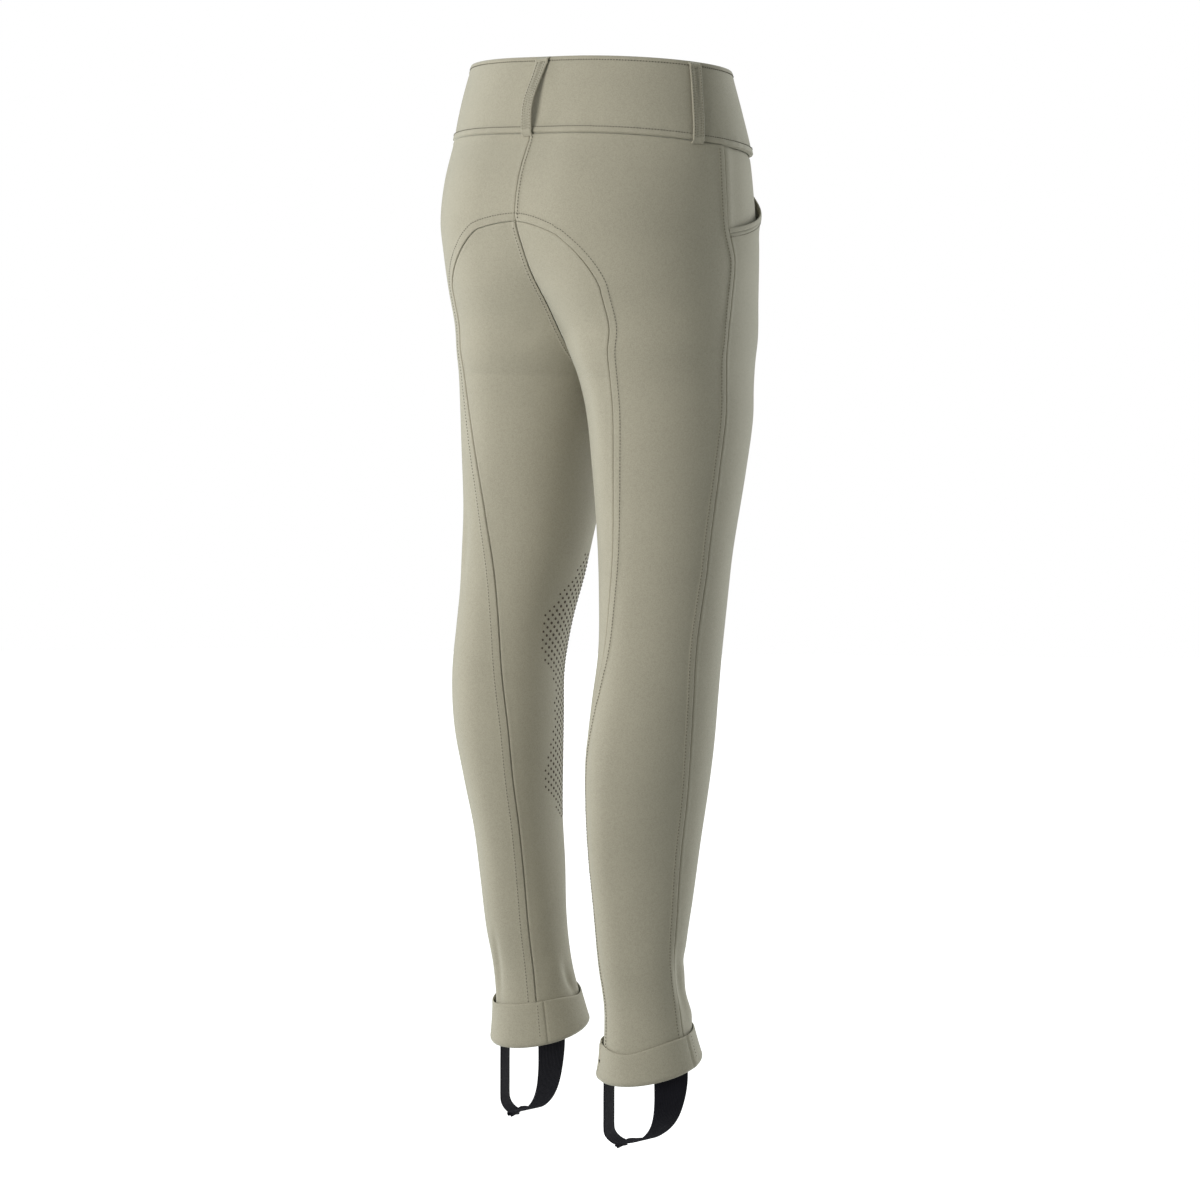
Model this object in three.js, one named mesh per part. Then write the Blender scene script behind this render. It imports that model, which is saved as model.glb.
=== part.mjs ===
// Child's riding jodhpurs, filled out and open, as worn: pull-on waistband, two leg backs, two fronts
// that wrap round the inside of the leg, scooped pockets, belt loops, turn-ups and elastic stirrups.
// Millimetres, Z up. The front faces -Y and the wearer's left is +X.
// The origin is the middle of the waist opening, half way up the waistband, where the wearer holds it.
import * as THREE from "three";

const CLOTH = 1.2;             // stretch cloth of the legs
const BAND_CLOTH = 2.4;        // waistband, folded double
const LOOP_CLOTH = 1.6;        // belt loop strip
const ELASTIC = 1.5;           // stirrup tape
const SEAM = 0.3;              // clear gap between sewn pieces

const RIM_Z = 34;              // top edge of the waistband
const WAIST_Z = -34;           // seam between waistband and legs
const ARCH_TOP_Z = -106;       // where the arched seat seam crosses the centre back
const ARCH_FOOT_Z = -160;      // where the arch has become upright
const CROTCH_Z = -233;
const HEM_Z = -807;

const POCKET_FOOT_Z = -103;    // opening meets the side seam
const POCKET_ANGLE = 118;      // opening meets the waist seam, degrees round the body
const POCKET_EDGE = 4;         // width of the bound edge
const POCKET_GAPE = 4;         // how far the bound edge stands away
const POCKET_DEPTH_Z = -186;   // bottom of the pocket back

const BAND_LIFT = 0.5;         // waistband stands proud of the legs
const LOOP_WIDTH = 11;
const LOOP_TOP_Z = 33;
const LOOP_FOOT_Z = -37;
const STIRRUP_WIDTH = 30;

// Cross sections of one half, from the rim to the hem. cx, cy: centre. wo: half width outward. wf, wb: half
// widths inward, in the front and back halves. df, db: depths to the front and the back. turn: toes out,
// degrees. slope: rise per mm towards the back. roll: rise per mm sideways. lift: extra height of the left
// leg. side, rear: angles of the side and rear seams, counted from the inside of the leg through the front.
// lean: how far the seams lie round to the wearer's left, degrees, as the cloth is pulled on a little turned.
const COLUMNS = ["z", "cx", "cy", "wo", "wf", "wb", "df", "db", "turn", "slope", "roll", "lift", "side", "rear",
  "lean"];
const SECTIONS = [
  [34, 25, 0, 100, 400, 400, 79, 78, 0, 0.03, 0.06, 0, 187, 247, 0],
  [0, 30, -1, 102, 400, 400, 88, 87, 0, 0.04, 0.06, 0, 186, 247, 0],
  [-34, 35, -2, 104, 400, 380, 96, 95, 0, 0.05, 0.06, 0, 185, 247, 0],
  [-70, 38, -2, 103, 400, 340, 102, 111, 0, 0.03, 0.06, 0, 181, 247, 3],
  [-103, 41, -1, 100, 360, 220, 109, 116, 0, 0.01, 0.06, 0, 177, 247, 5],
  [-130, 47, 0, 93, 280, 150, 110, 107, 0, 0, 0.06, 0, 172, 247, 4.5],
  [-160, 53, 1, 85, 180, 96, 110, 96, 0, 0, 0.06, 0, 170, 248, 6.5],
  [-190, 60, 0, 77, 115, 82, 105, 84, 0, 0, 0.06, 0, 171, 250, 8],
  [-213, 64, -2, 71, 86, 72, 97, 84, 0, 0, 0.06, 0, 171.5, 253, 9],
  [-233, 67, -4, 68, 66.85, 66.85, 90, 81, 0, 0, 0.06, 0, 173, 256, 9],
  [-262, 70, -5, 66, 63, 63, 84, 77, 0, 0, 0.05, 1, 176, 260, 8],
  [-303, 73, -2, 61, 59, 59, 74, 72, 2, 0, 0.03, 5, 179, 264, 5.5],
  [-367, 76, 5, 54, 57, 54, 62, 62, 4, 0, 0.01, 10, 183, 272, 2],
  [-410, 78, 11, 50, 53, 50, 59, 59, 6, 0, 0, 12, 184, 279, -2],
  [-453, 81, 19, 47, 49, 47, 57, 57, 9, -0.05, 0, 12, 183, 286, -5],
  [-496, 81, 26, 46, 46, 47, 58, 58, 12, -0.08, 0, 12, 177, 293, -4],
  [-539, 78, 29, 45, 45, 46, 58, 58, 16, -0.12, 0, 12, 171, 297, -1.5],
  [-582, 74, 28, 41, 41, 41, 55, 55, 19, -0.15, 0, 12, 166, 297, 0],
  [-625, 70, 26, 37, 37, 36, 50, 50, 21, -0.18, 0, 12, 164, 297, 0],
  [-668, 67, 24, 36, 36, 35, 44, 44, 21, -0.21, 0, 12, 164, 296, 0],
  [-711, 64, 22, 35, 34, 34, 38, 38, 20, -0.24, 0, 12, 163, 295, 0],
  [-746, 61, 16, 35, 31, 31, 35, 35, 16, -0.26, 0, 12, 161, 296, 0],
  [-771, 60, 12, 36, 32, 32, 37, 37, 14, -0.27, 0, 12, 163, 297, 0],
  [-807, 60, 7, 41, 39, 40, 43, 42, 12, -0.28, 0, 12, 165, 297, 0],
];

// Left and right halves. cuff: height of the turn-up. outer, inner: angles where the stirrup leaves the
// hem. reach: how deep its loop hangs, 1 as in the path below.
const SIDES = [
  { name: "left", sign: 1, cuff: 34, outer: 213, inner: 320, reach: 1.1 },
  { name: "right", sign: -1, cuff: 28, outer: 188, inner: 312, reach: 0.96 },
];

// Stirrup path: share of the way from the wearer's left strand to the right one, and height over the hem.
const STIRRUP_PATH = [
  [0.00, 14], [0.00, 4], [0.00, -14], [0.01, -34], [0.05, -52], [0.16, -61], [0.34, -60], [0.52, -58],
  [0.68, -54], [0.80, -48], [0.90, -38], [0.97, -22], [1.00, -8], [1.00, 4], [1.00, 14],
];

// Belt loops: name, side, angle round the waist (0 marks the centre back) and bow away from the band.
const LOOPS = [
  { name: "belt_loop_centre_back", sign: 1, angle: 0, bow: 7 },
  { name: "belt_loop_back_left", sign: 1, angle: 200, bow: 1.5 },
  { name: "belt_loop_back_right", sign: -1, angle: 200, bow: 1.5 },
  { name: "belt_loop_front_left", sign: 1, angle: 125, bow: 1.5 },
  { name: "belt_loop_front_right", sign: -1, angle: 125, bow: 1.5 },
];

const clothPaint = new THREE.MeshStandardMaterial({ name: "cloth", color: 0xaaa48f, roughness: 0.9 });
const edgePaint = new THREE.MeshStandardMaterial({ name: "edge", color: 0xa39d88, roughness: 0.9 });
const elasticPaint = new THREE.MeshStandardMaterial({ name: "elastic", color: 0x1e1c26, roughness: 0.8 });

const group = new THREE.Group();
const TURN = Math.PI * 2;
const rad = (degrees) => degrees * Math.PI / 180;

// ---- the body form ----

// Slopes of every column, for a smooth curve through the table.
const SLOPES = SECTIONS.map((row, i) => {
  const a = SECTIONS[Math.max(i - 1, 0)];
  const b = SECTIONS[Math.min(i + 1, SECTIONS.length - 1)];
  return row.map((_, k) => (b[k] - a[k]) / (b[0] - a[0]));
});

function section(z) {
  let i = 0;
  while (i < SECTIONS.length - 2 && z < SECTIONS[i + 1][0]) i += 1;
  const a = SECTIONS[i];
  const b = SECTIONS[i + 1];
  const h = b[0] - a[0];
  const t = (z - a[0]) / h;
  const out = {};
  COLUMNS.forEach((key, k) => {
    out[key] = (2 * t ** 3 - 3 * t ** 2 + 1) * a[k] + (t ** 3 - 2 * t ** 2 + t) * h * SLOPES[i][k]
      + (-2 * t ** 3 + 3 * t ** 2) * b[k] + (t ** 3 - t ** 2) * h * SLOPES[i + 1][k];
  });
  return out;
}

// How much of the front half's inward width counts: a plain switch where the halves meet at the centre,
// eased round the inside of the leg.
function frontShare(z, q) {
  if (z > CROTCH_Z) return q > 0 ? 1 : 0;
  const t = Math.min(1, Math.max(0, q + 0.5));
  return t * t * (3 - 2 * t);
}

// A point of the outer face, before any offset. angle in radians.
function skin(sign, z, angle) {
  const s = section(z);
  const c = Math.cos(angle);
  const q = Math.sin(angle);
  const inward = s.wb + (s.wf - s.wb) * frontShare(z, q);
  const dx = -(c > 0 ? inward : s.wo) * c;
  const dy = -(q > 0 ? s.df : s.db) * q;
  const t = rad(s.turn);
  const x = s.cx + dx * Math.cos(t) - dy * Math.sin(t);
  const y = s.cy + dx * Math.sin(t) + dy * Math.cos(t);
  return new THREE.Vector3(sign * x, y, z + s.slope * (y - s.cy) + sign * (s.roll * x + s.lift));
}

// A point and its outward normal, moved out by the offset.
function onBody(sign, z, angle, offset = 0) {
  const d = 0.004;
  const across = skin(sign, z, angle + d).sub(skin(sign, z, angle - d));
  const up = skin(sign, z + 0.5, angle).sub(skin(sign, z - 0.5, angle));
  const n = across.cross(up).multiplyScalar(sign).normalize();
  const p = skin(sign, z, angle).addScaledVector(n, offset);
  return { p, n };
}

// Angles where a level leaves the centre plane at the front and comes back to it at the back.
function limits(z, gap = SEAM / 2) {
  const s = section(z);
  const near = s.cx - gap;
  const away = (inward) => (inward > near + 1e-6 ? Math.acos(near / inward) : 0);
  return [away(s.wf), TURN - away(s.wb)];
}

// Half a seam's gap as an angle at this level.
function seamAngle(z, angle, share = SEAM / 2) {
  const step = skin(1, z, angle + 0.01).distanceTo(skin(1, z, angle - 0.01)) / 0.02;
  return share / step;
}

function sideAngle(sign, z) {
  const s = section(z);
  return rad(s.side - sign * Math.max(0, s.lean));
}

// Rear seam: an arch over the seat, then down the back of the leg. shift moves the top of the arch.
function rearAngle(sign, z, shift = 0) {
  const s = section(z);
  const upright = rad(s.rear - sign * s.lean);
  if (z <= ARCH_FOOT_Z) return upright;
  const k = Math.min(1, (z - ARCH_FOOT_Z) / (ARCH_TOP_Z + shift - ARCH_FOOT_Z));
  const centre = limits(z)[1];
  return upright + (centre - upright) * (1 - (1 - k ** 1.5) ** (2 / 3));
}

// ---- cloth from points ----

// Turns a sheet of points with normals into a closed wall. verts: {p, n}; faces wind outward.
function wall(name, paint, verts, faces, thickness) {
  const count = verts.length;
  const pos = [];
  verts.forEach((v) => pos.push(v.p.x, v.p.y, v.p.z));
  verts.forEach((v) => {
    const q = v.p.clone().addScaledVector(v.n, -thickness);
    pos.push(q.x, q.y, q.z);
  });
  const index = [];
  const edges = new Map();
  faces.forEach(([a, b, c]) => {
    index.push(a, b, c);
    index.push(c + count, b + count, a + count);
    [[a, b], [b, c], [c, a]].forEach(([u, v]) => edges.set(`${u}_${v}`, [u, v]));
  });
  edges.forEach(([u, v]) => {
    if (edges.has(`${v}_${u}`)) return;
    index.push(v, u, u + count);
    index.push(v, u + count, v + count);
  });
  addMesh(name, paint, pos, index);
}

function addMesh(name, paint, pos, index) {
  const g = new THREE.BufferGeometry();
  g.setAttribute("position", new THREE.Float32BufferAttribute(pos, 3));
  g.setIndex(index);
  g.computeVertexNormals();
  const mesh = new THREE.Mesh(g, paint);
  mesh.name = name;
  group.add(mesh);
}

// Collects points, so that pieces that share an edge share its points.
class Sheet {
  constructor() {
    this.verts = [];
    this.faces = [];
    this.keys = new Map();
  }

  add(v) {
    const key = [v.p.x, v.p.y, v.p.z].map((k) => k.toFixed(3)).join(" ");
    if (!this.keys.has(key)) {
      this.keys.set(key, this.verts.length);
      this.verts.push(v);
    }
    return this.keys.get(key);
  }

  // rows run downwards, columns by rising angle; flip for the wearer's right side
  grid(rows, flip) {
    const ids = rows.map((row) => row.map((v) => this.add(v)));
    for (let i = 0; i + 1 < ids.length; i += 1) {
      for (let j = 0; j + 1 < ids[i].length; j += 1) {
        const quad = [ids[i][j], ids[i + 1][j], ids[i + 1][j + 1], ids[i][j + 1]];
        this.face(quad[0], quad[1], quad[2], flip);
        this.face(quad[0], quad[2], quad[3], flip);
      }
    }
  }

  face(a, b, c, flip) {
    if (a === b || b === c || c === a) return;
    this.faces.push(flip ? [a, c, b] : [a, b, c]);
  }
}

const spread = (from, to, parts) => Array.from({ length: parts + 1 }, (_, i) => from + (to - from) * i / parts);

// ---- levels ----

const CROTCH_LEVELS = [-175, -190, -203, -213, -221, -227, -231, CROTCH_Z];
const LEG_LEVELS = [-243, -260, -286, -320, -356, -392, -428, -464, -500, -536, -572, -608, -644, -680,
  -714, -744, -771, -789, HEM_Z];
const ARCH_STEPS = [0, 0.14, 0.28, 0.42, 0.56, 0.7, 0.85, 1];
const POCKET_STEPS = 9;
const LEG_TOP_Z = WAIST_Z - SEAM / 2;
const SCOOP = POCKET_EDGE + SEAM;
const SIDE_LEVELS = [
  LEG_TOP_Z, -58, -80, -94, POCKET_FOOT_Z - SCOOP, -118, -127, -135, -143, -152, ARCH_FOOT_Z,
];
const BACK_COLUMNS = 6;
const INNER_COLUMNS = 4;
const FRONT_COLUMNS = 8;

function archLevels(shift) {
  const rise = ARCH_TOP_Z + shift - ARCH_FOOT_Z;
  return ARCH_STEPS.map((s) => ARCH_FOOT_Z + rise * (1 - s ** 1.5) ** (2 / 3));
}

// ---- leg backs: side seam to centre back, then to the arched rear seam ----

function backPanel({ name, sign }) {
  const below = [...CROTCH_LEVELS, ...LEG_LEVELS];
  const sideLevels = [...SIDE_LEVELS, ...below];
  const rearLevels = [LEG_TOP_Z, -58, -82, ...archLevels(SEAM / 2), ...below];
  const sheet = new Sheet();
  sheet.grid(rearLevels.map((rearZ, i) => {
    const sideZ = sideLevels[i];
    const side = sideAngle(sign, sideZ);
    const from = side + seamAngle(sideZ, side);
    const seam = rearAngle(sign, rearZ, SEAM / 2);
    const centre = limits(rearZ)[1];
    const to = rearZ >= ARCH_TOP_Z ? centre : Math.min(centre, seam - seamAngle(rearZ, seam));
    const heights = spread(sideZ, rearZ, BACK_COLUMNS);
    return spread(from, to, BACK_COLUMNS).map((a, j) => onBody(sign, heights[j], a));
  }), sign < 0);
  wall(`back_${name}`, clothPaint, sheet.verts, sheet.faces, CLOTH);
}

// ---- fronts: side seam round the front and the inside of the leg to the rear seam ----

// Pocket opening, an oval quarter centred on the side seam at the waist; grow widens it.
function pocketCurve(sign, turn, grow = 0) {
  const z = Math.min(WAIST_Z - (WAIST_Z - POCKET_FOOT_Z + grow) * Math.sin(turn), LEG_TOP_Z);
  const side = sideAngle(sign, z) - seamAngle(z, sideAngle(sign, z), SEAM);
  const start = rad(POCKET_ANGLE) - grow / 108;
  return { z, angle: start + (side - start) * (1 - Math.cos(turn)) };
}

const gape = (turn) => POCKET_GAPE * Math.sin(2 * turn) ** 2;

function frontPanel({ name, sign }) {
  const sheet = new Sheet();
  const rows = spread(0, Math.PI / 2, POCKET_STEPS).map((turn) => {
    const edge = pocketCurve(sign, turn, SCOOP);
    const angles = spread(limits(edge.z)[0], edge.angle, FRONT_COLUMNS);
    return angles.map((a, j) => {
      const share = [1, 0.35][FRONT_COLUMNS - j] || 0;
      return onBody(sign, edge.z, a, gape(turn) * share);
    });
  });
  [...SIDE_LEVELS.slice(5), ...CROTCH_LEVELS, ...LEG_LEVELS].forEach((z) => {
    const to = sideAngle(sign, z) - seamAngle(z, sideAngle(sign, z));
    rows.push(spread(limits(z)[0], to, FRONT_COLUMNS).map((a) => onBody(sign, z, a)));
  });
  sheet.grid(rows, sign < 0);
  sheet.grid([...archLevels(-SEAM / 2), ...CROTCH_LEVELS, ...LEG_LEVELS].map((z) => {
    const seam = rearAngle(sign, z, -SEAM / 2);
    const to = limits(z)[1];
    const from = Math.min(to, seam + seamAngle(z, seam));
    return spread(from, to, INNER_COLUMNS).map((a) => onBody(sign, z, a));
  }), sign < 0);
  wall(`front_${name}`, clothPaint, sheet.verts, sheet.faces, CLOTH);
}

// ---- pockets ----

function pocketEdge({ name, sign }) {
  const sheet = new Sheet();
  sheet.grid(spread(0, Math.PI / 2, POCKET_STEPS).map((turn) => {
    const low = pocketCurve(sign, turn, POCKET_EDGE);
    const high = pocketCurve(sign, turn, 0);
    return [low, high].map((at) => onBody(sign, at.z, at.angle, 0.5 + gape(turn)));
  }), sign < 0);
  wall(`pocket_edge_${name}`, edgePaint, sheet.verts, sheet.faces, 1.8);
}

function pocketBack({ name, sign }) {
  const sheet = new Sheet();
  const levels = spread(LEG_TOP_Z, POCKET_DEPTH_Z, 7);
  sheet.grid(levels.map((z, i) => {
    const round = Math.max(0, (i - 4) / 3) ** 2;
    const from = rad(104 + 26 * round);
    const to = sideAngle(sign, z) - seamAngle(z, sideAngle(sign, z)) * 2;
    // tucked close at the side seam, clear of the front further in
    return spread(from, to, 7).map((a) => onBody(sign, z, a, -(CLOTH + 0.8 + Math.min(0.8, (to - a) * 8))));
  }), sign < 0);
  wall(`pocket_back_${name}`, clothPaint, sheet.verts, sheet.faces, 1);
}

// ---- waistband and belt loops ----

const BAND_LEVELS = [RIM_Z, 17, 0, -17, WAIST_Z + SEAM];
const BAND_HALF = 20;

// Angles of one half of the band, centre front to centre back.
function bandAngles(z) {
  const [from, to] = limits(z, 0);
  return spread(from, to, BAND_HALF);
}

function waistband() {
  const rings = BAND_LEVELS.map((z) => {
    const left = bandAngles(z).map((a) => onBody(1, z, a, BAND_LIFT));
    const right = bandAngles(z).map((a) => onBody(-1, z, a, BAND_LIFT)).reverse();
    right.pop();
    return [...left, ...right.slice(1)];
  });
  // at the centre front and back both halves' normals meet
  rings.forEach((ring) => [0, BAND_HALF].forEach((k) => {
    ring[k].n.x = 0;
    ring[k].n.normalize();
    ring[k].p.x = 0;
  }));
  const sheet = new Sheet();
  sheet.grid(rings.map((ring) => [...ring, ring[0]]), false);
  wall("waistband", clothPaint, sheet.verts, sheet.faces, BAND_CLOTH);
}

// Bow of a loop away from the band, 0 at both ends.
function bowAt(t, bow) {
  return bow * Math.sin(Math.PI * Math.min(1, Math.max(0, t))) ** 1.2;
}

function beltLoop({ name, sign, angle, bow }) {
  const sheet = new Sheet();
  const lift = BAND_LIFT + SEAM + LOOP_CLOTH;
  sheet.grid(spread(0, 1, 8).map((t) => {
    const z = LOOP_TOP_Z + (LOOP_FOOT_Z - LOOP_TOP_Z) * t;
    const middle = angle ? rad(angle) : limits(z, 0)[1];
    const at = onBody(sign, z, middle, lift + bowAt(t, bow));
    if (!angle) {
      at.n.x = 0;
      at.n.normalize();
      at.p.x = 0;
    }
    const up = new THREE.Vector3(0, 0, 1);
    const across = up.cross(at.n).normalize();
    return [-0.5, 0, 0.5].map((w) => ({
      p: at.p.clone().addScaledVector(across, w * LOOP_WIDTH),
      n: at.n,
    }));
  }), false);
  wall(name, edgePaint, sheet.verts, sheet.faces, LOOP_CLOTH);
}

// ---- turn-ups ----

// The leg's own columns at a level, so that the turn-up follows it exactly.
function legAngles(sign, z) {
  const side = sideAngle(sign, z);
  const rear = rearAngle(sign, z);
  const front = spread(0, side, FRONT_COLUMNS);
  const back = spread(side, rear, BACK_COLUMNS).slice(1);
  const inner = spread(rear, TURN, INNER_COLUMNS).slice(1, -1);
  return [...front, ...back, ...inner];
}

// Profile of the folded cloth, clockwise from the top edge: height above the hem, offset from the leg.
function cuffProfile(cuff) {
  return [
    [cuff, 1.7], [cuff * 0.5, 2.1], [5, 2.8], [-1.5, 2.4], [-2.6, 0], [-1.5, -2.4], [5, -2.7], [14, -2.7],
    [14, -1.5], [-0.6, -1.5], [-0.6, 1.3], [cuff * 0.5, 0.8], [cuff, 0.4],
  ];
}

function turnUp({ name, sign, cuff }) {
  const rings = cuffProfile(cuff).map(([height, offset]) => {
    const z = Math.max(HEM_Z, HEM_Z + height);
    const drop = Math.min(0, height);
    return legAngles(sign, z).map((a) => {
      const v = onBody(sign, z, a, offset);
      v.p.z += drop;
      return v.p;
    });
  });
  const count = rings[0].length;
  const pos = [];
  rings.forEach((ring) => ring.forEach((p) => pos.push(p.x, p.y, p.z)));
  const index = [];
  rings.forEach((_, i) => {
    const next = (i + 1) % rings.length;
    for (let j = 0; j < count; j += 1) {
      const k = (j + 1) % count;
      const quad = [i * count + j, next * count + j, next * count + k, i * count + k];
      if (sign < 0) quad.reverse();
      index.push(quad[0], quad[1], quad[2], quad[0], quad[2], quad[3]);
    }
  });
  addMesh(`turn_up_${name}`, clothPaint, pos, index);
}

// ---- stirrups ----

function stirrup({ name, sign, outer, inner, reach }) {
  const inside = -4;
  const [near, far] = sign > 0 ? [outer, inner] : [inner, outer];
  const shares = [-0.5, -0.25, 0, 0.25, 0.5];
  // the tape lies against the inside of the turn-up and curls with it
  const against = (degrees, height, w) => {
    const a = rad(degrees);
    const z = HEM_Z + height;
    const way = sign * (degrees === near ? 1 : -1);
    return onBody(sign, z, a + way * w * seamAngle(z, a, STIRRUP_WIDTH), inside);
  };
  const ends = [near, far].map((degrees) => {
    const hem = shares.map((w) => against(degrees, 0, w));
    return { hem, c: hem[2].p, across: hem[4].p.clone().sub(hem[0].p).setZ(0).normalize() };
  });
  const heading = ends.map(({ across }) => Math.atan2(across.y, across.x));
  let swing = heading[1] - heading[0];
  if (swing > Math.PI) swing -= TURN;
  if (swing < -Math.PI) swing += TURN;
  const last = STIRRUP_PATH.length - 1;
  const centres = STIRRUP_PATH.map(([t, height]) => {
    const c = ends[0].c.clone().lerp(ends[1].c, t);
    c.z += height < 0 ? height * reach : height;
    return c;
  });
  const sheet = new Sheet();
  sheet.grid(STIRRUP_PATH.map(([t, height], i) => {
    if (height >= 0) return shares.map((w) => against(t < 0.5 ? near : far, height, w));
    const turn = heading[0] + swing * t * t * (3 - 2 * t);
    const width = new THREE.Vector3(Math.cos(turn), Math.sin(turn), 0);
    const along = centres[Math.min(i + 1, last)].clone().sub(centres[i - 1]).normalize();
    const end = ends[t < 0.5 ? 0 : 1];
    const curl = Math.max(0, 1 + height / 40);
    return shares.map((w, k) => {
      const flat = width.clone().multiplyScalar(w * STIRRUP_WIDTH);
      const curled = end.hem[k].p.clone().sub(end.c);
      const n = along.clone().cross(width).normalize().lerp(end.hem[k].n, curl).normalize();
      return { p: centres[i].clone().add(flat.lerp(curled, curl)), n };
    });
  }), false);
  wall(`stirrup_${name}`, elasticPaint, sheet.verts, sheet.faces, ELASTIC);
}

SIDES.forEach((half) => {
  backPanel(half);
  frontPanel(half);
  pocketBack(half);
  pocketEdge(half);
  turnUp(half);
  stirrup(half);
});
waistband();
LOOPS.forEach(beltLoop);

export default group;
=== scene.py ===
"""Child's riding jodhpurs: cloth, seams, stitching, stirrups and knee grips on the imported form."""

import math

import bpy
import numpy as np
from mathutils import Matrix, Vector
from mathutils.kdtree import KDTree


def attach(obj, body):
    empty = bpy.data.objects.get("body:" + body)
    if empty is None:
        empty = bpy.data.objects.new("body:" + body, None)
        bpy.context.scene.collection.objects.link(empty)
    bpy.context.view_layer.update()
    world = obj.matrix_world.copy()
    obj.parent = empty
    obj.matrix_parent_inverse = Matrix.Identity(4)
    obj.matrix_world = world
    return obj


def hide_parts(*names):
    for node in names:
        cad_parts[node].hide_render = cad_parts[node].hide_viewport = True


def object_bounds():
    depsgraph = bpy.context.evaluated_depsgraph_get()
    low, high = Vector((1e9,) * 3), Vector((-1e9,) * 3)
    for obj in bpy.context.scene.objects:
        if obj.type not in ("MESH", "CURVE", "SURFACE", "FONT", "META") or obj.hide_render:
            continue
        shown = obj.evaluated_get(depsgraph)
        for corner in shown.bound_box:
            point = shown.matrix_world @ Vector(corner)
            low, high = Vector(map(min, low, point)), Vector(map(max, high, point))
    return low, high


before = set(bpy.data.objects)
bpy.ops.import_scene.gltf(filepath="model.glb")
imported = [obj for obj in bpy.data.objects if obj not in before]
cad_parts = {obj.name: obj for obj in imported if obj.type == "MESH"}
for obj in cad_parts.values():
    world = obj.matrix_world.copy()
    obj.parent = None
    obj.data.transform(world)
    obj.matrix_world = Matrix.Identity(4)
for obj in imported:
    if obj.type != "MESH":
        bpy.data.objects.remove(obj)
cad_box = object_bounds()

bl_info = {
    "name": "Riding jodhpurs",
    "version": (1, 0, 0),
    "blender": (4, 5, 0),
    "location": "View3D > Sidebar > Jodhpurs",
    "description": "Cloth, seams, stitching, stirrups and knee grips on the packed form",
    "category": "Add Mesh",
}

# ---- sizes of the cut, in millimetres ----

MM = 0.001

CLOTH = 1.2  # stretch cloth of the legs
BAND_CLOTH = 2.4  # waistband, folded double
RIM_Z = 34
WAIST_Z = -34
ARCH_TOP_Z = -106
ARCH_FOOT_Z = -160
CROTCH_Z = -233
HEM_Z = -807
HALF_GAP = 0.08  # half of the hairline between two sewn edges
BAND_LIFT = 0.5

POCKET_FOOT_Z = -103
POCKET_ANGLE = 118
POCKET_EDGE = 4
POCKET_GAPE = 3.2
POCKET_DEPTH_Z = -186

STITCH_IN = 6.9  # topstitching beside the arched and rear seams
SIDE_STITCH_IN = 5.8
CENTRE_STITCH_IN = 3.4
BAND_STITCH_IN = 5.0  # topstitching over the waist seam
RIM_STITCH_IN = 3.4  # topstitching under the rim
POCKET_STITCH_IN = 3.4  # from the scooped pocket edge

LOOP_WIDTH = 11
LOOP_CLOTH = 1.5
LOOP_STAND = 2.2  # a loop's middle line over the band
LOOP_TOP_Z = 32.8
LOOP_FOOT_Z = -36.4
STIRRUP_WIDTH = 30
ELASTIC = 1.5

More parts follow.
